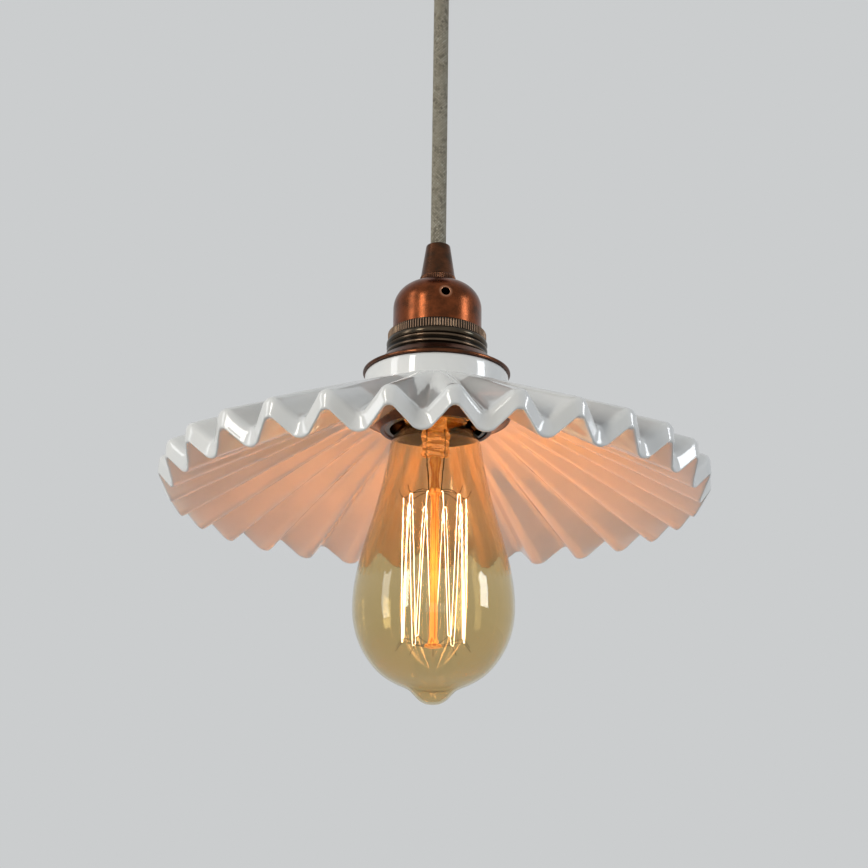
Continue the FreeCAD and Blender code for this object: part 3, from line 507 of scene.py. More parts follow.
# Cone grips: turned brass cones, browned like the holder, with a knurled foot for the fingers. One hangs
# below the cup and one stands on the lamp, mouth to mouth on the cord.

GRIP_HEIGHT = 17.7
GRIP_FOOT = 7.45
GRIP_MOUTH = 4.98
CORD_HOLE = 3.62
SCREWED_DEPTH = 11.1
KNURLS = 54
KNURL_DEPTH = 0.32
KNURL_TOP = 3.1

grip_outline = rounded_outline([
    (NIPPLE_HOLE, 0), (GRIP_FOOT - 0.25, 0, 0.3), (GRIP_FOOT, 0.3, 0.3), (GRIP_FOOT - 0.05, KNURL_TOP, 0.2),
    (GRIP_FOOT - 0.3, KNURL_TOP + 0.25, 0.2), (GRIP_MOUTH, GRIP_HEIGHT, 1.1), (CORD_HOLE, GRIP_HEIGHT, 0.5),
    (CORD_HOLE, SCREWED_DEPTH), (NIPPLE_HOLE, SCREWED_DEPTH), (NIPPLE_HOLE, 5.0)], 0.12)


def press_in(grid, depth):
    """Moves the points of a grid towards the upright axis by a depth."""
    radius = np.maximum(np.hypot(grid[..., 0], grid[..., 1]), 1)
    grid[..., :2] *= (1 - depth / radius)[..., None]


def knurled_cone(columns):
    """A lathed cone, and how deep each point lies in a groove, which the metal turns into painted shade in
    the grooves and a painted highlight on the teeth. Round its foot the radius sinks between the teeth by 1
    less the fourth power of a cosine of the angle, which leaves the teeth narrow."""
    cone = lathe(grip_outline, columns)
    level = cone[..., 2]
    on_foot = np.hypot(cone[..., 0], cone[..., 1]) > 6
    band = np.clip((level - 0.1) / 0.25, 0, 1) * np.clip((KNURL_TOP - level) / 0.2, 0, 1) * on_foot
    depth = band * (1 - np.cos(KNURLS * full_turn(columns) / 2) ** 4)
    press_in(cone, KNURL_DEPTH * depth)
    return cone, 1.4 * depth - 0.5 * band


cone, cone_groove_shading = knurled_cone(KNURLS * 8)
for label, body, grip in (
    ("lamp", "lamp", cone + [0, 0, low("lamp_cord_grip")]),
    ("ceiling", "ceiling_rose", cone * [1, -1, -1] + [0, 0, high("ceiling_cord_grip")]),
):
    skin(label + "_cone_grip", grip, body=body, replaces=label + "_cord_grip", slot="dark_copper",
         finish=dark_copper, sharp=35, attributes={"groove": cone_groove_shading})


# Small parts of the rose and the lamp that keep their solids: turned tubes, hexagon nuts, nylon collets, a
# moulded terminal block, brass screws and posts, and the two insulated conductors of the cord.


def moulded(name, colour, dark, rough, size=900.0, clear=0.0, metallic=0.0):
    """A cast, moulded or drawn surface: two close tones in a fine mottle, with a faint relief."""
    material, work = new_finish(name)
    place = work.spot()
    mottle = work.noise(size, 4.0, place)
    broad = work.noise(size / 8, 2.0, place)
    mask = work.ramp(mottle * 0.6 + broad * 0.4, [(0.35, 0.0), (0.65, 1.0)])
    work.show(work.principled({
        "Base Color": work.blend(mask, colour, dark), "Roughness": rough - 0.05 + broad * 0.1,
        "Normal": work.bump(0.25, 0.00006, mottle), "Metallic": metallic, "Coat Weight": clear,
        "Coat Roughness": 0.1}))
    return material


for finish, nodes in (
    (zinc_steel, ("mounting_bar", "ceiling_nipple", "lamp_nipple", "upper_lock_nut", "lower_lock_nut",
                  "lamp_lock_nut")),
    (bare_brass, ("block_live_screw", "block_neutral_screw", "live_post_screw", "neutral_post_screw",
                  "live_terminal_post", "neutral_terminal_post", "centre_contact")),
    (moulded("nylon", tint(228, 224, 212), tint(214, 209, 195), 0.5),
     ("ceiling_grip_collet", "lamp_grip_collet")),
    (moulded("terminal_plastic", tint(232, 231, 226), tint(220, 219, 213), 0.45), ("terminal_block",)),
    (moulded("brown_insulation", tint(104, 66, 42), tint(90, 56, 35), 0.42),
     ("ceiling_live_wire", "lamp_live_wire")),
    (moulded("blue_insulation", tint(52, 92, 160), tint(44, 80, 144), 0.42),
     ("ceiling_neutral_wire", "lamp_neutral_wire")),
    (moulded("linen_sheath", tint(178, 171, 152), tint(120, 112, 94), 0.9, size=3000.0),
     ("ceiling_cord_tail", "lamp_cord_tail")),
    (moulded("core_porcelain", tint(232, 230, 224), tint(222, 219, 211), 0.4, clear=0.3), ("ceramic_core",)),
    (moulded("black_glass", tint(22, 20, 20), tint(34, 30, 30), 0.15, clear=0.6), ("cap_insulator",)),
    (moulded("solder", tint(186, 188, 188), tint(150, 152, 152), 0.35, metallic=1.0),
     ("bulb_tip_contact",)),
):
    for node in nodes:
        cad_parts[node].data.materials[0] = finish


# Holder dome: a copper cap spun over a former and brushed as it turned, with one small hole punched through
# its side. It screws down over the skirt's spigot.

DOME_HEIGHT = 20.9
DOME_RADIUS = 18.3
DOME_ROUND = 11
DOME_WALL = 0.8
PEEP_RADIUS = 1.85
PEEP_HEIGHT = 11.4
PEEP_TURN = math.radians(10.4)
PEEP_FLARE = 0.2
PEEP_CELLS = 12
ROWS_BELOW = 13
DOME_COLUMNS = 192

dome_foot = low("holder_dome")
side_height = DOME_HEIGHT - DOME_ROUND
crown_walk = side_height + DOME_ROUND * math.pi / 2


def dome_place(angle, walk, inward):
    """A place on the dome's wall. The walk runs up the straight side, round the shoulder's arc by
    walk / radius, and in over the flat crown. Inward is how far it lies under the outer face."""
    turn = np.clip((walk - side_height) / DOME_ROUND, 0, np.pi / 2)
    in_over = np.maximum(walk - crown_walk, 0)
    radius = DOME_RADIUS - DOME_ROUND + (DOME_ROUND - inward) * np.cos(turn) - in_over
    level = np.minimum(walk, side_height) + (DOME_ROUND - inward) * np.sin(turn)
    return around(radius, angle, dome_foot + level)


column_step = 2 * math.pi / DOME_COLUMNS
cell = DOME_RADIUS * column_step
peep_walk = side_height + DOME_ROUND * math.asin((PEEP_HEIGHT - side_height) / DOME_ROUND)
block_low = peep_walk - PEEP_CELLS / 2 * cell
block_high = peep_walk + PEEP_CELLS / 2 * cell
walks = np.concatenate([np.linspace(0, block_low, ROWS_BELOW + 1)[:-1],
                        np.linspace(block_low, block_high, PEEP_CELLS + 1),
                        np.linspace(block_high, crown_walk, 26)[1:],
                        np.linspace(crown_walk, crown_walk + DOME_RADIUS - DOME_ROUND - NIPPLE_HOLE, 6)[1:]])
angles = PEEP_TURN + (np.arange(DOME_COLUMNS) - PEEP_CELLS / 2) * column_step
outer = dome_place(angles[None, :], walks[:, None], 0)
inner = dome_place(angles[None, :], walks[:, None], DOME_WALL)[::-1]
wall = np.concatenate([outer, inner, outer[:1]])
kept = np.ones((len(wall) - 1, DOME_COLUMNS), bool)
for first in (ROWS_BELOW, 2 * len(walks) - 1 - ROWS_BELOW - PEEP_CELLS):
    kept[first:first + PEEP_CELLS, :PEEP_CELLS] = False

along = np.arange(PEEP_CELLS) - PEEP_CELLS / 2
edge = np.full(PEEP_CELLS, PEEP_CELLS / 2)
square = np.stack([np.concatenate([along, edge, -along, -edge]),
                   np.concatenate([-edge, along, edge, -along])], axis=-1) * cell
around_hole = np.arctan2(square[:, 1], square[:, 0])
circle = PEEP_RADIUS * np.stack([np.cos(around_hole), np.sin(around_hole)], axis=-1)


def to_hole(share, grown, inward):
    """A row of the grid between the block's square edge and the hole's circle, grown by a little."""
    flat = square + (circle * (1 + grown / PEEP_RADIUS) - square) * share
    return dome_place(PEEP_TURN + flat[:, 0] / DOME_RADIUS, peep_walk + flat[:, 1], inward)


tunnel = np.stack([to_hole(share, PEEP_FLARE, 0) for share in np.linspace(0, 1, 7)]
                  + [to_hole(1, PEEP_FLARE * (1 - math.sin(t)), PEEP_FLARE * (1 - math.cos(t)))
                     for t in (0.5, 1.0, 1.57)]
                  + [to_hole(1, 0, DOME_WALL)]
                  + [to_hole(share, 0, DOME_WALL) for share in np.linspace(1, 0, 7)[1:]])

peep_centre = (DOME_RADIUS * math.sin(PEEP_TURN) * MM, -DOME_RADIUS * math.cos(PEEP_TURN) * MM,
               (dome_foot + PEEP_HEIGHT) * MM)
brushed_dome = metal("brushed_dome", tint(140, 76, 45), tint(84, 45, 26), 0.25, patina=tint(72, 50, 34),
                     worn=(peep_centre, 0.0030))
skin("spun_dome", wall, tunnel, body="lamp", replaces="holder_dome", slot="antique_copper",
     finish=brushed_dome, sharp=40, kept=kept)


# Holder skirt: a brass tube, browned to a dark copper, whose shoulder is knurled for the fingers. Below a
# smooth bead it carries a rounded thread down to its foot, for the two rings that clamp the shade.

SHOULDER_DROP = 0.8
SHOULDER_HEIGHT = 4.6
SHOULDER_ROUND = 0.8
SHOULDER_ROLL = 0.25
NECK_BELOW = 18.1
BEAD_RADIUS = 20.3
SKIRT_RADIUS = 20.8
SKIRT_INSIDE = 18.8
SPIGOT_RADIUS = 17.45
SPIGOT_WALL = 1.1
SPIGOT_HEIGHT = 3.4
SPIGOT_DEPTH = 1.6
HAIRLINE = 0.01
TEETH = 112
TOOTH_DEPTH = 0.36
BEAD_DROP = 0.1
BEAD_HEIGHT = 2.5
BEAD_BOW = 0.5
BEAD_STEP = 0.25
BEAD_ROWS = 18
GROOVE = 0.2
FIRST_RIDGE = 0.65
THREAD_PITCH = 2.5
THREAD_DEPTH = 0.65

skirt_foot = low("holder_skirt")
shoulder_foot = dome_foot - SHOULDER_HEIGHT
shoulder_bore = SPIGOT_RADIUS - 0.9
bead_top = shoulder_foot - BEAD_DROP
bead_foot = bead_top - BEAD_HEIGHT
thread_top = bead_foot - GROOVE


def knurled_shoulder(columns):
    """The ring under the dome, and how deep each point lies in a groove, which the metal turns into painted
    shade between the teeth and a painted highlight on them. A plain neck carries it, and its edges roll over
    by quarters of a circle. Between the teeth its face sinks by 1 less the square of a cosine of the angle,
    and the depth fades to the ends along quarters of a circle."""
    roll = np.linspace(0, np.pi / 2, 6)
    neck = [(shoulder_bore, dome_foot - HAIRLINE), (NECK_BELOW, dome_foot - HAIRLINE),
            (NECK_BELOW, dome_foot - SHOULDER_DROP)]
    top = dome_foot - SHOULDER_DROP - SHOULDER_ROUND
    foot = shoulder_foot + SHOULDER_ROLL
    outline = neck + [(BEAD_RADIUS - SHOULDER_ROUND * (1 - math.sin(t)), top + SHOULDER_ROUND * math.cos(t))
                      for t in roll]
    outline += [(BEAD_RADIUS, level) for level in np.linspace(top, foot, 22)[1:-1]]
    outline += [(BEAD_RADIUS - SHOULDER_ROLL * (1 - math.cos(t)), foot - SHOULDER_ROLL * math.sin(t))
                for t in roll] + [(shoulder_bore, shoulder_foot - HAIRLINE)]
    ring = lathe(outline, columns)
    from_end = np.minimum(top - ring[..., 2] + SHOULDER_ROUND, ring[..., 2] - foot + SHOULDER_ROLL)
    outside = np.hypot(ring[..., 0], ring[..., 1]) > BEAD_RADIUS - SHOULDER_ROUND - HAIRLINE
    band = np.sqrt(1 - (1 - np.clip(from_end / 0.5, 0, 1)) ** 2) * outside
    groove = 1 - np.cos(TEETH * full_turn(columns) / 2) ** 2
    press_in(ring, TOOTH_DEPTH * band * groove)
    return ring, band * (1.8 * groove - 0.8)


def threaded_skirt(columns):
    """The tube below the shoulder, and a share of painted shade for each point, high in the thread's grooves
    and below 0 as a painted highlight on its ridge: a bead whose radius swells by a sine of the height, and
    then a thread whose ridge is a raised cosine of height / pitch + angle / 2 pi, so that it climbs once each
    turn."""
    bead_levels = np.linspace(bead_top, bead_foot, BEAD_ROWS)
    thread_levels = np.linspace(thread_top, skirt_foot, int((thread_top - skirt_foot) / 0.16))
    outline = [(SKIRT_INSIDE, shoulder_foot + 0.4), (BEAD_RADIUS - 0.5, shoulder_foot + 0.4),
               (BEAD_RADIUS - 0.35, shoulder_foot), (BEAD_RADIUS - 0.3, shoulder_foot - 0.05)]
    swell = BEAD_RADIUS - BEAD_STEP + (BEAD_BOW + BEAD_STEP) * np.sin(np.linspace(0, np.pi, BEAD_ROWS)) ** 0.6
    outline += list(zip(swell, bead_levels)) + [(SKIRT_RADIUS - THREAD_DEPTH, thread_top + GROOVE / 2)]
    first = len(outline)
    outline += [(SKIRT_RADIUS, level) for level in thread_levels]
    last = len(outline)
    outline += [(SKIRT_INSIDE, skirt_foot), (SKIRT_INSIDE, (skirt_foot + shoulder_foot) / 2)]
    tube = lathe(outline, columns)
    level = tube[first:last, :, 2]
    climb = 2 * np.pi * (level - thread_top + FIRST_RIDGE) / THREAD_PITCH + full_turn(columns)
    ridge = (0.5 + 0.5 * np.cos(climb)) ** 0.8
    runout = np.clip((thread_top - level) / 0.3, 0, 1)
    press_in(tube[first:last], THREAD_DEPTH * (1 - ridge * runout))
    # Painted shade in the thread's grooves, and a painted highlight on its ridge.
    groove = np.zeros(tube.shape[:2])
    groove[first:last] = 0.75 - 0.95 * ridge * runout
    # Painted shade also darkens the recess under the shoulder and the groove above the thread.
    groove[first - 1] = groove[3] = 0.8
    return tube, groove


def collar(inside, outside, foot, top):
    """A plain short tube of oblong section."""
    return lathe([(inside, foot), (outside, foot), (outside, top), (inside, top)], 96)


spigot = collar(SPIGOT_RADIUS - SPIGOT_WALL, SPIGOT_RADIUS, dome_foot - SPIGOT_DEPTH,
                dome_foot + SPIGOT_HEIGHT)
shoulder, shoulder_groove_shading = knurled_shoulder(TEETH * 8)
tube, tube_groove_shading = threaded_skirt(160)
skirt_groove_shading = np.concatenate([shoulder_groove_shading.ravel(), tube_groove_shading.ravel(), np.zeros(spigot[..., 0].size)])
weathered_copper = metal("weathered_copper", tint(88, 76, 62), tint(36, 32, 27), 0.2, lines=0.2,
                         patina=tint(80, 86, 78), crest_wear_and_highlight=tint(142, 112, 88))
skin("threaded_skirt", shoulder, tube, spigot, body="lamp", replaces="holder_skirt", slot="dark_copper",
     finish=weathered_copper, sharp=50, attributes={"groove": skirt_groove_shading})


# Shade rings: two dished rings of copper sheet with a rolled lip. One bears on the shade's neck from above
# and its twin, turned over, from below. They sit on the skirt's thread, and their bores are left plain.

RING_BORE = 20.85
RING_EDGE = 30.2
RING_HEIGHT = 6.3
RING_COLLAR = 22.35
RING_SHEET = 1.3

ring_outline = rounded_outline([
    (RING_BORE, 1.2, 0.1), (RING_COLLAR, 1.2, 0.2), (RING_COLLAR, 3.3, 0.6), (27.0, 0, 0.8),
    (RING_EDGE, 0, 0.35), (RING_EDGE, RING_SHEET, 0.62), (RING_EDGE - 1.2, RING_SHEET, 0.5),
    (27.6, 1.75, 2.5), (24.4, 3.9, 2.5), (RING_COLLAR + 0.2, RING_HEIGHT, 0.5),
    (RING_BORE, RING_HEIGHT, 0.3)], 0.2)
for label, seat, over in (("upper_shade_ring", low("upper_shade_ring"), 1),
                          ("lower_shade_ring", high("lower_shade_ring"), -1)):
    dish = lathe(ring_outline, 224) * [1, over, over] + [0, 0, seat]
    skin("dished_" + label, dish, body="lamp", replaces=label, slot="antique_copper", finish=shaded_ring_copper,
         sharp=40)


# Shade: porcelain cast in a pleated mould, with a short round neck. Its 30 pleats grow from nothing at the
# neck to a zigzag rim, whose face stands about upright and whose edges the glaze has rounded.

SHADE_RADIUS = 110
NECK_RADIUS = 29.35
NECK_HEIGHT = 8.5
NECK_ROUND = 1.4
SHADE_BORE = 21.2
SEAT_DEPTH = 17.7
SEAT_RADIUS = 31.5
PLEATS = 30
PLEAT_TURN = math.radians(-2.58)
PEAK_RISE = 15.7
VALLEY_RISE = 7.9
VALLEY_INSET = 4.8
RIM_WALL = 7.9
RIM_LEAN = -0.3
RIM_BEVEL = 2.1
TOP_ROUNDS = (2.8, 4.2)
FOOT_ROUNDS = (5.4, 2.6)
ARC_POINTS = 10
FLANK_POINTS = 4

shade_top = high("porcelain_shade")
neck_foot = SHADE_HEIGHT - NECK_HEIGHT
rim_face = math.hypot(RIM_LEAN, RIM_WALL)


def unit(vectors):
    """Each vector over its length."""
    return vectors / np.linalg.norm(vectors, axis=-1, keepdims=True)


def zigzag(crease, crest):
    """A loop round the shade: straight flanks between 60 corners, each rounded by an arc that touches the
    corner's place. Crease and crest are (radius, height, round) of the inner and the outer corners."""
    turn = PLEAT_TURN + 2 * np.pi * np.arange(2 * PLEATS) / (2 * PLEATS)
    radius, level, bend = (np.tile(pair, PLEATS) for pair in zip(crease, crest))
    corner = around(radius, turn, level)
    back = unit(np.roll(corner, 1, axis=0) - corner)
    on = unit(np.roll(corner, -1, axis=0) - corner)
    half = np.arccos(np.sum(back * on, axis=-1)) / 2
    inward, side = unit(back + on), unit(on - back)
    sweep = (np.pi / 2 - half)[:, None, None] * np.linspace(-1, 1, ARC_POINTS)[None, :, None]
    bend = bend[:, None, None]
    arcs = corner[:, None] + bend * (inward[:, None] * (1 - np.cos(sweep)) + side[:, None] * np.sin(sweep))
    share = (np.arange(1, FLANK_POINTS + 1) / (FLANK_POINTS + 1))[None, :, None]
    flanks = arcs[:, -1:] * (1 - share) + np.roll(arcs, -1, axis=0)[:, :1] * share
    return np.concatenate([arcs, flanks], axis=1).reshape(-1, 3)


def rim(inwards, down, rounds):
    """A zigzag that lies so far inwards along the slope, and down along the rim's face, from its edge."""
    ends = []
    for radius, level, bend in ((SHADE_RADIUS - VALLEY_INSET, VALLEY_RISE, rounds[0]),
                                (SHADE_RADIUS, PEAK_RISE, rounds[1])):
        slope = math.atan2(neck_foot - level, radius - NECK_RADIUS)
        ends.append((radius - inwards * math.cos(slope) - down * RIM_LEAN / rim_face,
                     level + inwards * math.sin(slope) - down * RIM_WALL / rim_face, bend))
    return zigzag(*ends)


def runs(*stops):
    """Rows that run straight from one loop to the next. Stops are loops with the number of steps between."""
    rows = [stops[0][None]]
    for count, before, after in zip(stops[1::2], stops[::2], stops[2::2]):
        share = np.linspace(0, 1, count + 1)[1:, None, None]
        rows.append(before[None] * (1 - share) + after[None] * share)
    return np.concatenate(rows)


def rolled(before, corner, after, count):
    """Rows round an edge: a parabola from one loop to another that leans towards the corner between them."""
    share = np.linspace(0, 1, count + 1)[:, None, None]
    return before * (1 - share) ** 2 + 2 * corner * share * (1 - share) + after * share ** 2


def pleated_porcelain():
    """The whole skin: neck, upper side, rolled rim and lower side, then the seat and the bore. Rows are
    loops round the shade, and a slow wave of a tenth of a millimetre keeps it from being too straight."""
    upper = rim(RIM_BEVEL, 0, TOP_ROUNDS)
    lower = rim(RIM_BEVEL, rim_face, FOOT_ROUNDS)
    turn = np.arctan2(upper[:, 0], -upper[:, 1])

    def hoop(radius, level):
        """A circle round the shade, with a point at the angle of each point of the zigzag."""
        return around(radius, turn, level)

    top = SHADE_HEIGHT
    grid = np.concatenate([
        runs(hoop(SHADE_BORE, top), 3, hoop(NECK_RADIUS - NECK_ROUND, top)),
        rolled(hoop(NECK_RADIUS - NECK_ROUND, top), hoop(NECK_RADIUS, top),
               hoop(NECK_RADIUS, top - NECK_ROUND), 5)[1:],
        runs(hoop(NECK_RADIUS, top - NECK_ROUND), 4, hoop(NECK_RADIUS, neck_foot + 0.5), 22, upper)[1:],
        rolled(upper, rim(0, 0, TOP_ROUNDS), rim(0, RIM_BEVEL, TOP_ROUNDS), 7)[1:],
        runs(rim(0, RIM_BEVEL, TOP_ROUNDS), 6, rim(0, rim_face - RIM_BEVEL, FOOT_ROUNDS))[1:],
        rolled(rim(0, rim_face - RIM_BEVEL, FOOT_ROUNDS), rim(0, rim_face, FOOT_ROUNDS), lower, 7)[1:],
        runs(lower, 24, hoop(SEAT_RADIUS, top - SEAT_DEPTH), 3, hoop(SHADE_BORE, top - SEAT_DEPTH), 3,
             hoop(SHADE_BORE, top))[1:],
    ])
    reach = np.hypot(grid[..., 0], grid[..., 1])
    loose = np.clip((reach - 40) / 60, 0, 1)
    wave = 0.10 * np.sin(3 * turn + reach / 21) + 0.06 * np.sin(7 * turn - reach / 9 + 1.3)
    grid[..., 2] += loose * wave + shade_top - SHADE_HEIGHT
    return grid


porcelain, glaze = new_finish("porcelain_glaze")
spot = glaze.spot()
pooling = glaze.noise(55.0, 3.0, spot)
orange_peel = glaze.noise(260.0, 2.0, spot)
pinholes = glaze.put("ShaderNodeTexVoronoi", {"feature": "F1"}, {"Vector": spot, "Scale": 420.0})
white = glaze.blend(glaze.ramp(pooling, [(0.35, 0.0), (0.7, 1.0)]), tint(236, 236, 233), tint(228, 230, 229))
white = glaze.blend(glaze.ramp(pinholes, [(0.02, 1.0), (0.06, 0.0)]) * 0.35, white, tint(196, 190, 178))
glaze.show(glaze.principled({
    "Base Color": white, "Roughness": 0.3 + pooling * 0.1, "Coat Weight": 1.0, "Coat Roughness": 0.02,
    "Coat IOR": 1.55, "IOR": 1.3, "Normal": glaze.bump(0.22, 0.0004, pooling * 0.7 + orange_peel * 0.3)}))
skin("pleated_shade", pleated_porcelain(), body="lamp", replaces="porcelain_shade", slot="porcelain_glaze",
     finish=porcelain, sharp=60)


# Bulb glass: a long pear blown thin in clear glass and stained amber, with the drawn tip where it was pumped
# out. Faint ridges run down it from the neck. Above the belly the amber is painted paler, with painted darker
# streaks, where the lit shade and its pleats show through it.

GLASS_WALL = 0.9
GLASS_TOP = 123.6
PAINTED_CLEAR_ABOVE = 35

bulb_foot = low("bulb_glass")


def smooth_line(points, count):
    """A smooth outline through points: on each piece of the way a cubic that leaves and arrives in the
    direction between the neighbours, with the way measured along the straight chords."""
    points = np.array(points, float)
    way = np.concatenate([[0], np.cumsum(np.linalg.norm(np.diff(points, axis=0), axis=1))])
    lean = np.gradient(points, way, axis=0)
    at = np.linspace(0, way[-1], count)
    piece = np.clip(np.searchsorted(way, at, side="right") - 1, 0, len(way) - 2)
    span = (way[piece + 1] - way[piece])[:, None]
    t = (at[:, None] - way[piece][:, None]) / span
    return (points[piece] * (1 + 2 * t) * (1 - t) ** 2 + lean[piece] * span * t * (1 - t) ** 2
            + points[piece + 1] * t ** 2 * (3 - 2 * t) + lean[piece + 1] * span * t ** 2 * (t - 1))


bulb_outline = smooth_line([
    (12.3, GLASS_TOP), (12.3, 117.0), (13.6, 113.6), (16.5, 109.3), (18.1, 105.6), (19.0, 100.0),
    (20.8, 91.0), (22.7, 82.6), (24.8, 74.3), (27.2, 66.1), (29.4, 57.9), (31.1, 49.7), (32.0, 41.2),
    (31.9, 34.5), (30.2, 26.4), (26.2, 18.3), (20.6, 11.9), (14.6, 8.2), (11.2, 6.7), (9.2, 5.6),
    (7.2, 3.6), (5.0, 1.5), (2.4, 0.25), (0, 0)], 150)
bulb_outline[-1] = (0, 0)
along_glass = unit(np.gradient(bulb_outline, axis=0))
inner_outline = bulb_outline + GLASS_WALL * np.stack([along_glass[:, 1], -along_glass[:, 0]], axis=-1)
inner_outline[0, 1] = bulb_outline[0, 1]
inner_outline[-1] = (0, GLASS_WALL)
envelope = lathe(np.concatenate([bulb_outline[::-1], inner_outline]).tolist(), 160, close=False)
envelope[..., 2] += bulb_foot

amber, blown = new_finish("amber_glass")
streaks = blown.noise(1.0, 2.0, blown.spot((620, 620, 8)))
# Painted light: the glass is painted paler above the belly, where the lit shade shows through it, and
# streaked darker there for its pleats.
above_belly = blown.part(blown.spot(), "Z") - (bulb_foot + PAINTED_CLEAR_ABOVE) * MM
upper_part = blown.ramp(above_belly * 15, [(0.0, 0.0), (1.0, 1.0)])
stain_and_painted_light = blown.blend(upper_part, tint(228, 212, 172), tint(248, 236, 210))
stain_and_painted_light = blown.blend(blown.ramp(streaks, [(0.45, 0.0), (0.7, 0.6)]) * upper_part, stain_and_painted_light, tint(232, 206, 160))
clear_glass = blown.principled({
    "Base Color": stain_and_painted_light, "Roughness": 0.0, "Transmission Weight": 1.0, "IOR": 1.45,
    "Normal": blown.bump(0.12, 0.0003, streaks * upper_part)})
lets_light = blown.put("ShaderNodeBsdfTransparent", {}, {"Color": tint(250, 236, 205)})
blown.show(blown.either(blown.ray("Shadow"), clear_glass, lets_light))
skin("bulb_envelope", envelope, body="bulb", replaces="bulb_glass", slot="amber_glass", finish=amber)


# Stem: a flared glass tube, sealed into the neck. Its lower end was softened and pinched flat round the two
# leads, which left a crumpled press.

PRESS_FOOT = 99.6
PRESS_TOP = 111.6

stem_line = np.array([
    (PRESS_FOOT, 0, 0), (PRESS_FOOT, 4.6, 1.2), (99.9, 5.4, 1.7), (101, 5.75, 1.9), (104, 5.3, 2.0),
    (107, 5.4, 1.9), (110, 5.75, 2.0), (PRESS_TOP, 5.0, 2.6), (113, 4.5, 4.0), (115.5, 4.5, 4.5),
    (117.5, 5.2, 5.2), (120, 8.2, 8.2), (121.8, 10.6, 10.6), (123.2, 11.15, 11.15), (GLASS_TOP, 10.8, 10.8),
    (GLASS_TOP, 0, 0)])


def pressed_glass(columns):
    """Ovals of the stem's half widths and half depths, squared off below the press's top by a power of the
    sine and the cosine. There three sines of angle and height crumple it."""
    last = len(stem_line) - 1
    steps = np.linspace(0, last, 5 * last + 1)
    level, wide, deep = (np.interp(steps, np.arange(last + 1), column)[:, None] for column in stem_line.T)
    angle = full_turn(columns)
    sine, cosine = np.sin(angle), np.cos(angle)
    flat = np.clip((PRESS_TOP - level) / 2, 0, 1)
    power = 1 - 0.45 * flat
    waves = (0.3 * np.sin(1.9 * level + 2.2 * sine) + 0.24 * np.sin(5 * angle + 1.4 * level)
             + 0.1 * np.sin(9 * angle - 3.1 * level))
    crumple = flat * (wide > 1) * waves
    x = wide * np.sign(sine) * np.abs(sine) ** power + crumple * sine
    y = deep * np.sign(cosine) * np.abs(cosine) ** power + crumple * cosine
    return np.stack([x, -y, bulb_foot + level + 0 * angle], axis=-1)


stem_glass, sealed = new_finish("stem_glass")
# Painted light: the whole stem glows faintly orange in a brighter mottle, for the filament's light caught in
# the glass. The same mottle gives the glass its bumpy relief.
seeds_and_glints = sealed.noise(700.0, 3.0, sealed.spot())
painted_glint = sealed.blend(sealed.ramp(seeds_and_glints, [(0.35, 0.0), (0.65, 1.0)]), tint(176, 84, 36), tint(255, 176, 84))
sealed.show(sealed.principled({
    "Base Color": tint(248, 220, 192), "Roughness": 0.0, "Transmission Weight": 1.0, "IOR": 1.48,
    "Normal": sealed.bump(0.5, 0.0004, seeds_and_glints), "Emission Color": painted_glint, "Emission Strength": 0.22}))
skin("pressed_stem", pressed_glass(72), body="bulb", replaces="glass_stem", slot="stem_glass",
     finish=stem_glass)


# Centre rod: a glass rod that hangs from the press. A button melted on it holds the upper hooks, and its
# flattened foot holds the lower ones. It is painted to glow orange, for the light of the hot filament round
# it.

ROD_FOOT = 22.4
ROD_TOP = 99.9
BUTTON = 85.4

rod_outline = smooth_line([
    (0, ROD_FOOT), (1.6, ROD_FOOT), (3.0, 22.45), (3.55, 22.75), (3.4, 23.3), (2.4, 23.9), (1.85, 25.4),
    (1.7, 30.0), (1.65, 50.0), (1.7, 70.0), (1.7, 82.0), (1.9, 83.8), (2.5, 84.4), (2.75, BUTTON),
    (2.5, 86.4), (1.9, 87.0), (1.65, 88.5), (1.6, 93.0), (1.75, 99.7), (0, ROD_TOP)], 150)
rod_outline[0], rod_outline[-1] = (0, ROD_FOOT), (0, ROD_TOP)
rod_grid = lathe(rod_outline.tolist(), 40, close=False)
at_button = np.exp(-((rod_grid[..., 2] - BUTTON) / 1.3) ** 2)
rod_grid[..., :2] *= (1 + 0.12 * at_button * np.sin(7 * full_turn(40) + 0.6))[..., None]
rod_grid[..., 2] += bulb_foot
rod_glass, rod_work = new_finish("rod_glass")
# Painted light: the rod glows orange, fully along the cage below the button and dimmer above it, with
# brighter streaks where the filament's strands show in it. The same pattern of drawn lines also varies the
# rod's own colour.
drawn = rod_work.noise(1.0, 2.0, rod_work.spot((1300, 1300, 14)))
from_button = rod_work.part(rod_work.spot(), "Z") - (bulb_foot + BUTTON) * MM
painted_glow_between_hooks = rod_work.ramp(from_button * 150 + 0.5, [
    (0.0, 1.0), (0.36, 0.5), (0.45, 1.0), (0.55, 1.0), (0.68, 0.3), (1.0, 0.3)])
painted_strand_streaks = rod_work.ramp(drawn, [(0.44, 0.0), (0.58, 1.0)])
ember = rod_work.blend(painted_strand_streaks, tint(196, 96, 32), tint(255, 196, 106))
rod_work.show(rod_work.principled({
    "Base Color": rod_work.blend(drawn, tint(150, 98, 52), tint(186, 132, 74)), "Roughness": 0.15,
    "Transmission Weight": 0.3, "IOR": 1.3,
    "Emission Color": rod_work.blend(painted_glow_between_hooks, tint(0, 0, 0), ember), "Emission Strength": 0.9}))
skin("centre_glass_rod", rod_grid, body="bulb", replaces="centre_rod", slot="stem_glass", finish=rod_glass)


# Wires in the bulb: two leads from the press, 17 hooks of thin metal wire melted into the button and the
# foot of the rod, and one long filament that runs up and down over the hooks in nine hairpins.

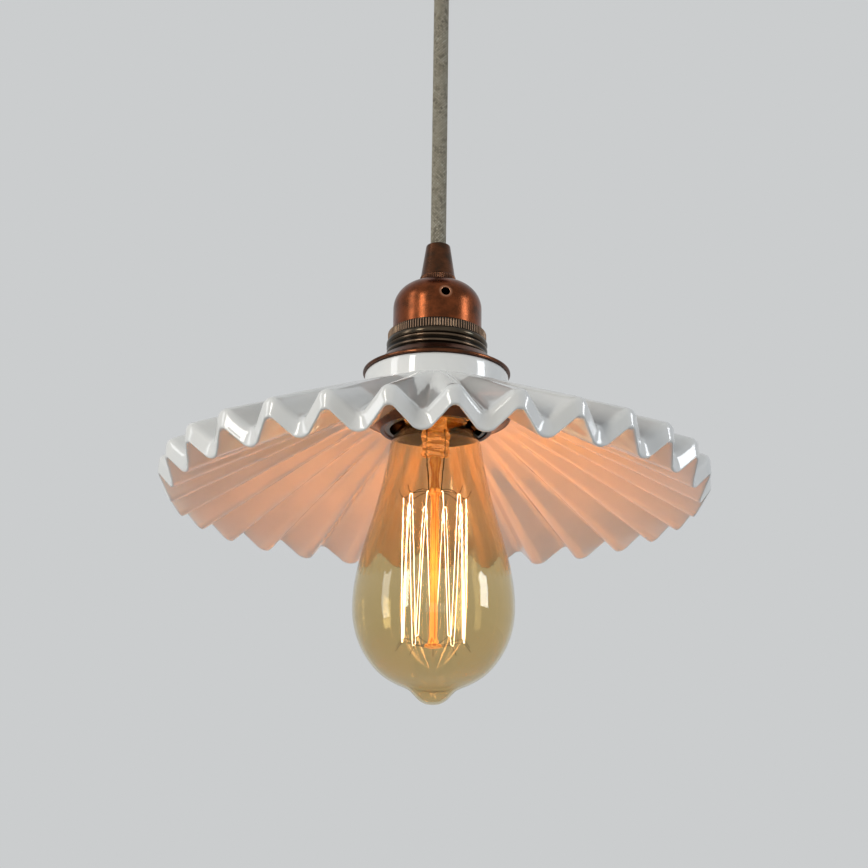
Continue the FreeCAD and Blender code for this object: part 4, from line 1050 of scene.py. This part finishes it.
CAGE_RADIUS = 12.6
CAGE_TOP = 82.2
CAGE_FOOT = 24.9
HOOKS_IN_FOOT = 23.1
HAIRPINS = 9
LEAD_GAP = math.radians(22)
CAGE_STEP = (2 * math.pi - LEAD_GAP) / HAIRPINS
HAIRPIN_ROUND = 0.75
UPPER_HOOK_WIRE = 0.26
LOWER_HOOK_WIRE = 0.2
LEAD_WIRE = 0.5
FILAMENT_WIRE = 0.25


def wire(points, thickness, sides=8, smooth=True):
    """A thin round wire along points above the bulb's foot, or along a smooth line through them. Each ring of
    it stands across the line, on two directions that are square to the line and to each other."""
    length = sum(math.dist(a, b) for a, b in zip(points, points[1:]))
    line = smooth_line(points, max(6, int(length / 0.5))) if smooth else np.array(points)
    along = unit(np.gradient(line, axis=0))
    first = unit(np.cross(along, [0.31, 0.95, 0.02]))
    second = np.cross(along, first)
    turn = full_turn(sides)[None, :, None]
    rings = line[:, None] + thickness / 2 * (first[:, None] * np.cos(turn) + second[:, None] * np.sin(turn))
    ends = [np.repeat(line[end][None, None], sides, axis=1) for end in (0, -1)]
    tube = np.concatenate([ends[0], rings, ends[1]])
    tube[..., 2] += bulb_foot
    return tube


support_metal = moulded("support_metal", tint(58, 44, 36), tint(40, 30, 25), 0.4, metallic=1.0)
hooks = []
for k in range(1, HAIRPINS):
    angle = LEAD_GAP / 2 + k * CAGE_STEP
    hooks.append(wire([around(2.4, angle, BUTTON), around(6, angle, BUTTON - 0.1),
                       around(10, angle, CAGE_TOP + 1.6), around(CAGE_RADIUS - 0.3, angle, CAGE_TOP + 0.1),
                       around(CAGE_RADIUS + 0.5, angle, CAGE_TOP + 0.7),
                       around(CAGE_RADIUS + 1.8, angle, CAGE_TOP + 3.2)], UPPER_HOOK_WIRE))
for k in range(HAIRPINS):
    angle = LEAD_GAP / 2 + (k + 0.5) * CAGE_STEP
    hooks.append(wire([around(3.2, angle, HOOKS_IN_FOOT), around(8, angle, CAGE_FOOT - 0.9),
                       around(CAGE_RADIUS - 0.3, angle, CAGE_FOOT - 0.1),
                       around(CAGE_RADIUS + 2.7, angle, CAGE_FOOT - 3.4)], LOWER_HOOK_WIRE))
skin("wire_hooks", *hooks, body="bulb", replaces="support_hooks", slot="support_metal",
     finish=support_metal)

leads = [wire([(side * 3.4, -0.2, 112), (side * 3.8, -0.4, 104), (side * 3.5, -0.6, PRESS_FOOT),
               (side * 3.3, -1.6, 96), (side * 2.9, -6, 91.5),
               around(CAGE_RADIUS, side * LEAD_GAP / 2, CAGE_TOP)], LEAD_WIRE) for side in (-1, 1)]
skin("lead_wire_pair", *leads, body="bulb", replaces="lead_wires", slot="support_metal",
     finish=support_metal)

chance = np.random.default_rng(11)


def hairpins():
    """The filament's middle line. It stands straight between the hooks and turns over each of them in a half
    circle across the cage, and each strand bows outwards by a parabola of its height."""
    turns = [((LEAD_GAP + k * CAGE_STEP) / 2, CAGE_FOOT if k % 2 else CAGE_TOP)
             for k in range(2 * HAIRPINS + 1)]
    bend = np.linspace(0, np.pi, 9)
    half = HAIRPIN_ROUND / CAGE_RADIUS
    share = np.linspace(0, 1, 34)[1:-1]
    line = []
    for number, (turn, level) in enumerate(turns):
        up = 1 if number % 2 == 0 else -1
        arc = [(turn - half * math.cos(t), level - up * HAIRPIN_ROUND * (1 - math.sin(t))) for t in bend]
        if number in (0, 2 * HAIRPINS):
            arc = arc[4:] if number == 0 else arc[:5]
        if line:
            bow = chance.uniform(0.0, 0.5)
            sway = chance.uniform(-0.02, 0.02)
            last, first = line[-1], arc[0]
            line += [(last[0] + (first[0] - last[0]) * s + sway * 4 * s * (1 - s),
                      last[1] + (first[1] - last[1]) * s, bow * 4 * s * (1 - s)) for s in share]
        line += [(turned, height, 0.0) for turned, height in arc]
    turned, height, out = np.array(line).T
    return around(CAGE_RADIUS + out, turned, height)


hot, glowing = new_finish("filament_metal")
heat = glowing.noise(300.0, 2.0, glowing.spot())
shine = glowing.principled({
    "Base Color": tint(60, 40, 30), "Roughness": 0.6,
    "Emission Color": glowing.blend(heat, tint(255, 228, 200), tint(255, 238, 218)),
    "Emission Strength": 7.0})
mirrored = glowing.put("ShaderNodeEmission", {}, {"Color": tint(255, 186, 124), "Strength": 70.0})
glowing.show(glowing.either(glowing.ray("Reflection"), shine, mirrored))
cage = skin("hairpin_filament", wire(hairpins(), FILAMENT_WIRE, sides=6, smooth=False), body="bulb",
            replaces="filament", slot="filament_metal", finish=hot)
cage.visible_diffuse = False

lamp_light = bpy.data.lights.new("filament_light", "POINT")
lamp_light.energy = 0.36
lamp_light.color = tint(255, 160, 58)[:3]
lamp_light.shadow_soft_size = 0.012
filament_light = stand("filament_light", lamp_light)
filament_light.location = (0, 0, (bulb_foot + (CAGE_TOP + CAGE_FOOT) / 2) * MM)
for kind in ("camera", "transmission", "glossy"):
    setattr(filament_light, "visible_" + kind, False)
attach(filament_light, "bulb")


# Screw cap and its sleeve: thin brass shells. The cap, rolled with a round thread, is cemented on the bulb's
# neck. The sleeve stands in the porcelain core. It is left plain here, so that the cap clears it as it turns.

CAP_PITCH = 3.629
CAP_RADIUS = 13.1
CAP_WALL = 0.3
CAP_HEIGHT = 20
CAP_THREADED = 18.6
CAP_THREAD = 0.55
CROWN_EDGE = 11.7
CROWN_BORE = 10.3
SLEEVE_RADIUS = 13.8
SLEEVE_WALL = 0.38
SLEEVE_LIP = 0.4
SLEEVE_BORE = 11.4

cap_foot = low("bulb_cap")
cap_top = cap_foot + CAP_HEIGHT
crown_foot = cap_foot + CAP_THREADED - 0.05
cap_brass = metal("cap_brass", tint(206, 178, 118), tint(168, 134, 80), 0.28, lines=0.25)


def rolled_thread(radius, foot_level, top_level, wall, depth):
    """A thin shell with a round thread: the radius goes in and out by a cosine of height / pitch + angle /
    2 pi. The inner face repeats the outer one, a wall further in. A depth of 0 leaves the shell plain."""
    height = np.linspace(foot_level, top_level, int((top_level - foot_level) / 0.22))
    outline = [(radius, level) for level in height] + [(radius - wall, level) for level in height[::-1]]
    shell = lathe(outline, 96)
    level = shell[..., 2]
    wave = 0.5 - 0.5 * np.cos(2 * np.pi * (level - foot_level) / CAP_PITCH + full_turn(96))
    fade = np.clip((level - foot_level - 2.0) / 1.2, 0, 1) * np.clip((top_level - level) / 1.2, 0, 1)
    press_in(shell, depth * wave * fade)
    return shell


cap_shell = rolled_thread(CAP_RADIUS, cap_foot, cap_foot + CAP_THREADED, CAP_WALL, CAP_THREAD)
cap_crown = lathe([(CAP_RADIUS, crown_foot), (CROWN_EDGE, cap_top), (CROWN_BORE, cap_top),
                   (CROWN_BORE, cap_top - CAP_WALL), (CROWN_EDGE - 0.15, cap_top - CAP_WALL),
                   (CAP_RADIUS - CAP_WALL, crown_foot)], 96)
skin("threaded_cap", cap_shell, cap_crown, body="bulb", replaces="bulb_cap", slot="cap_brass",
     finish=cap_brass, sharp=50)

sleeve_top = high("socket_shell")
sleeve = rolled_thread(SLEEVE_RADIUS, low("socket_shell"), sleeve_top - SLEEVE_LIP, SLEEVE_WALL, 0.0)
sleeve_floor = collar(SLEEVE_BORE, SLEEVE_RADIUS, sleeve_top - SLEEVE_LIP, sleeve_top)
skin("sleeve_with_lip", sleeve, sleeve_floor, body="lamp", replaces="socket_shell", slot="bare_brass",
     finish=cap_brass, sharp=50)
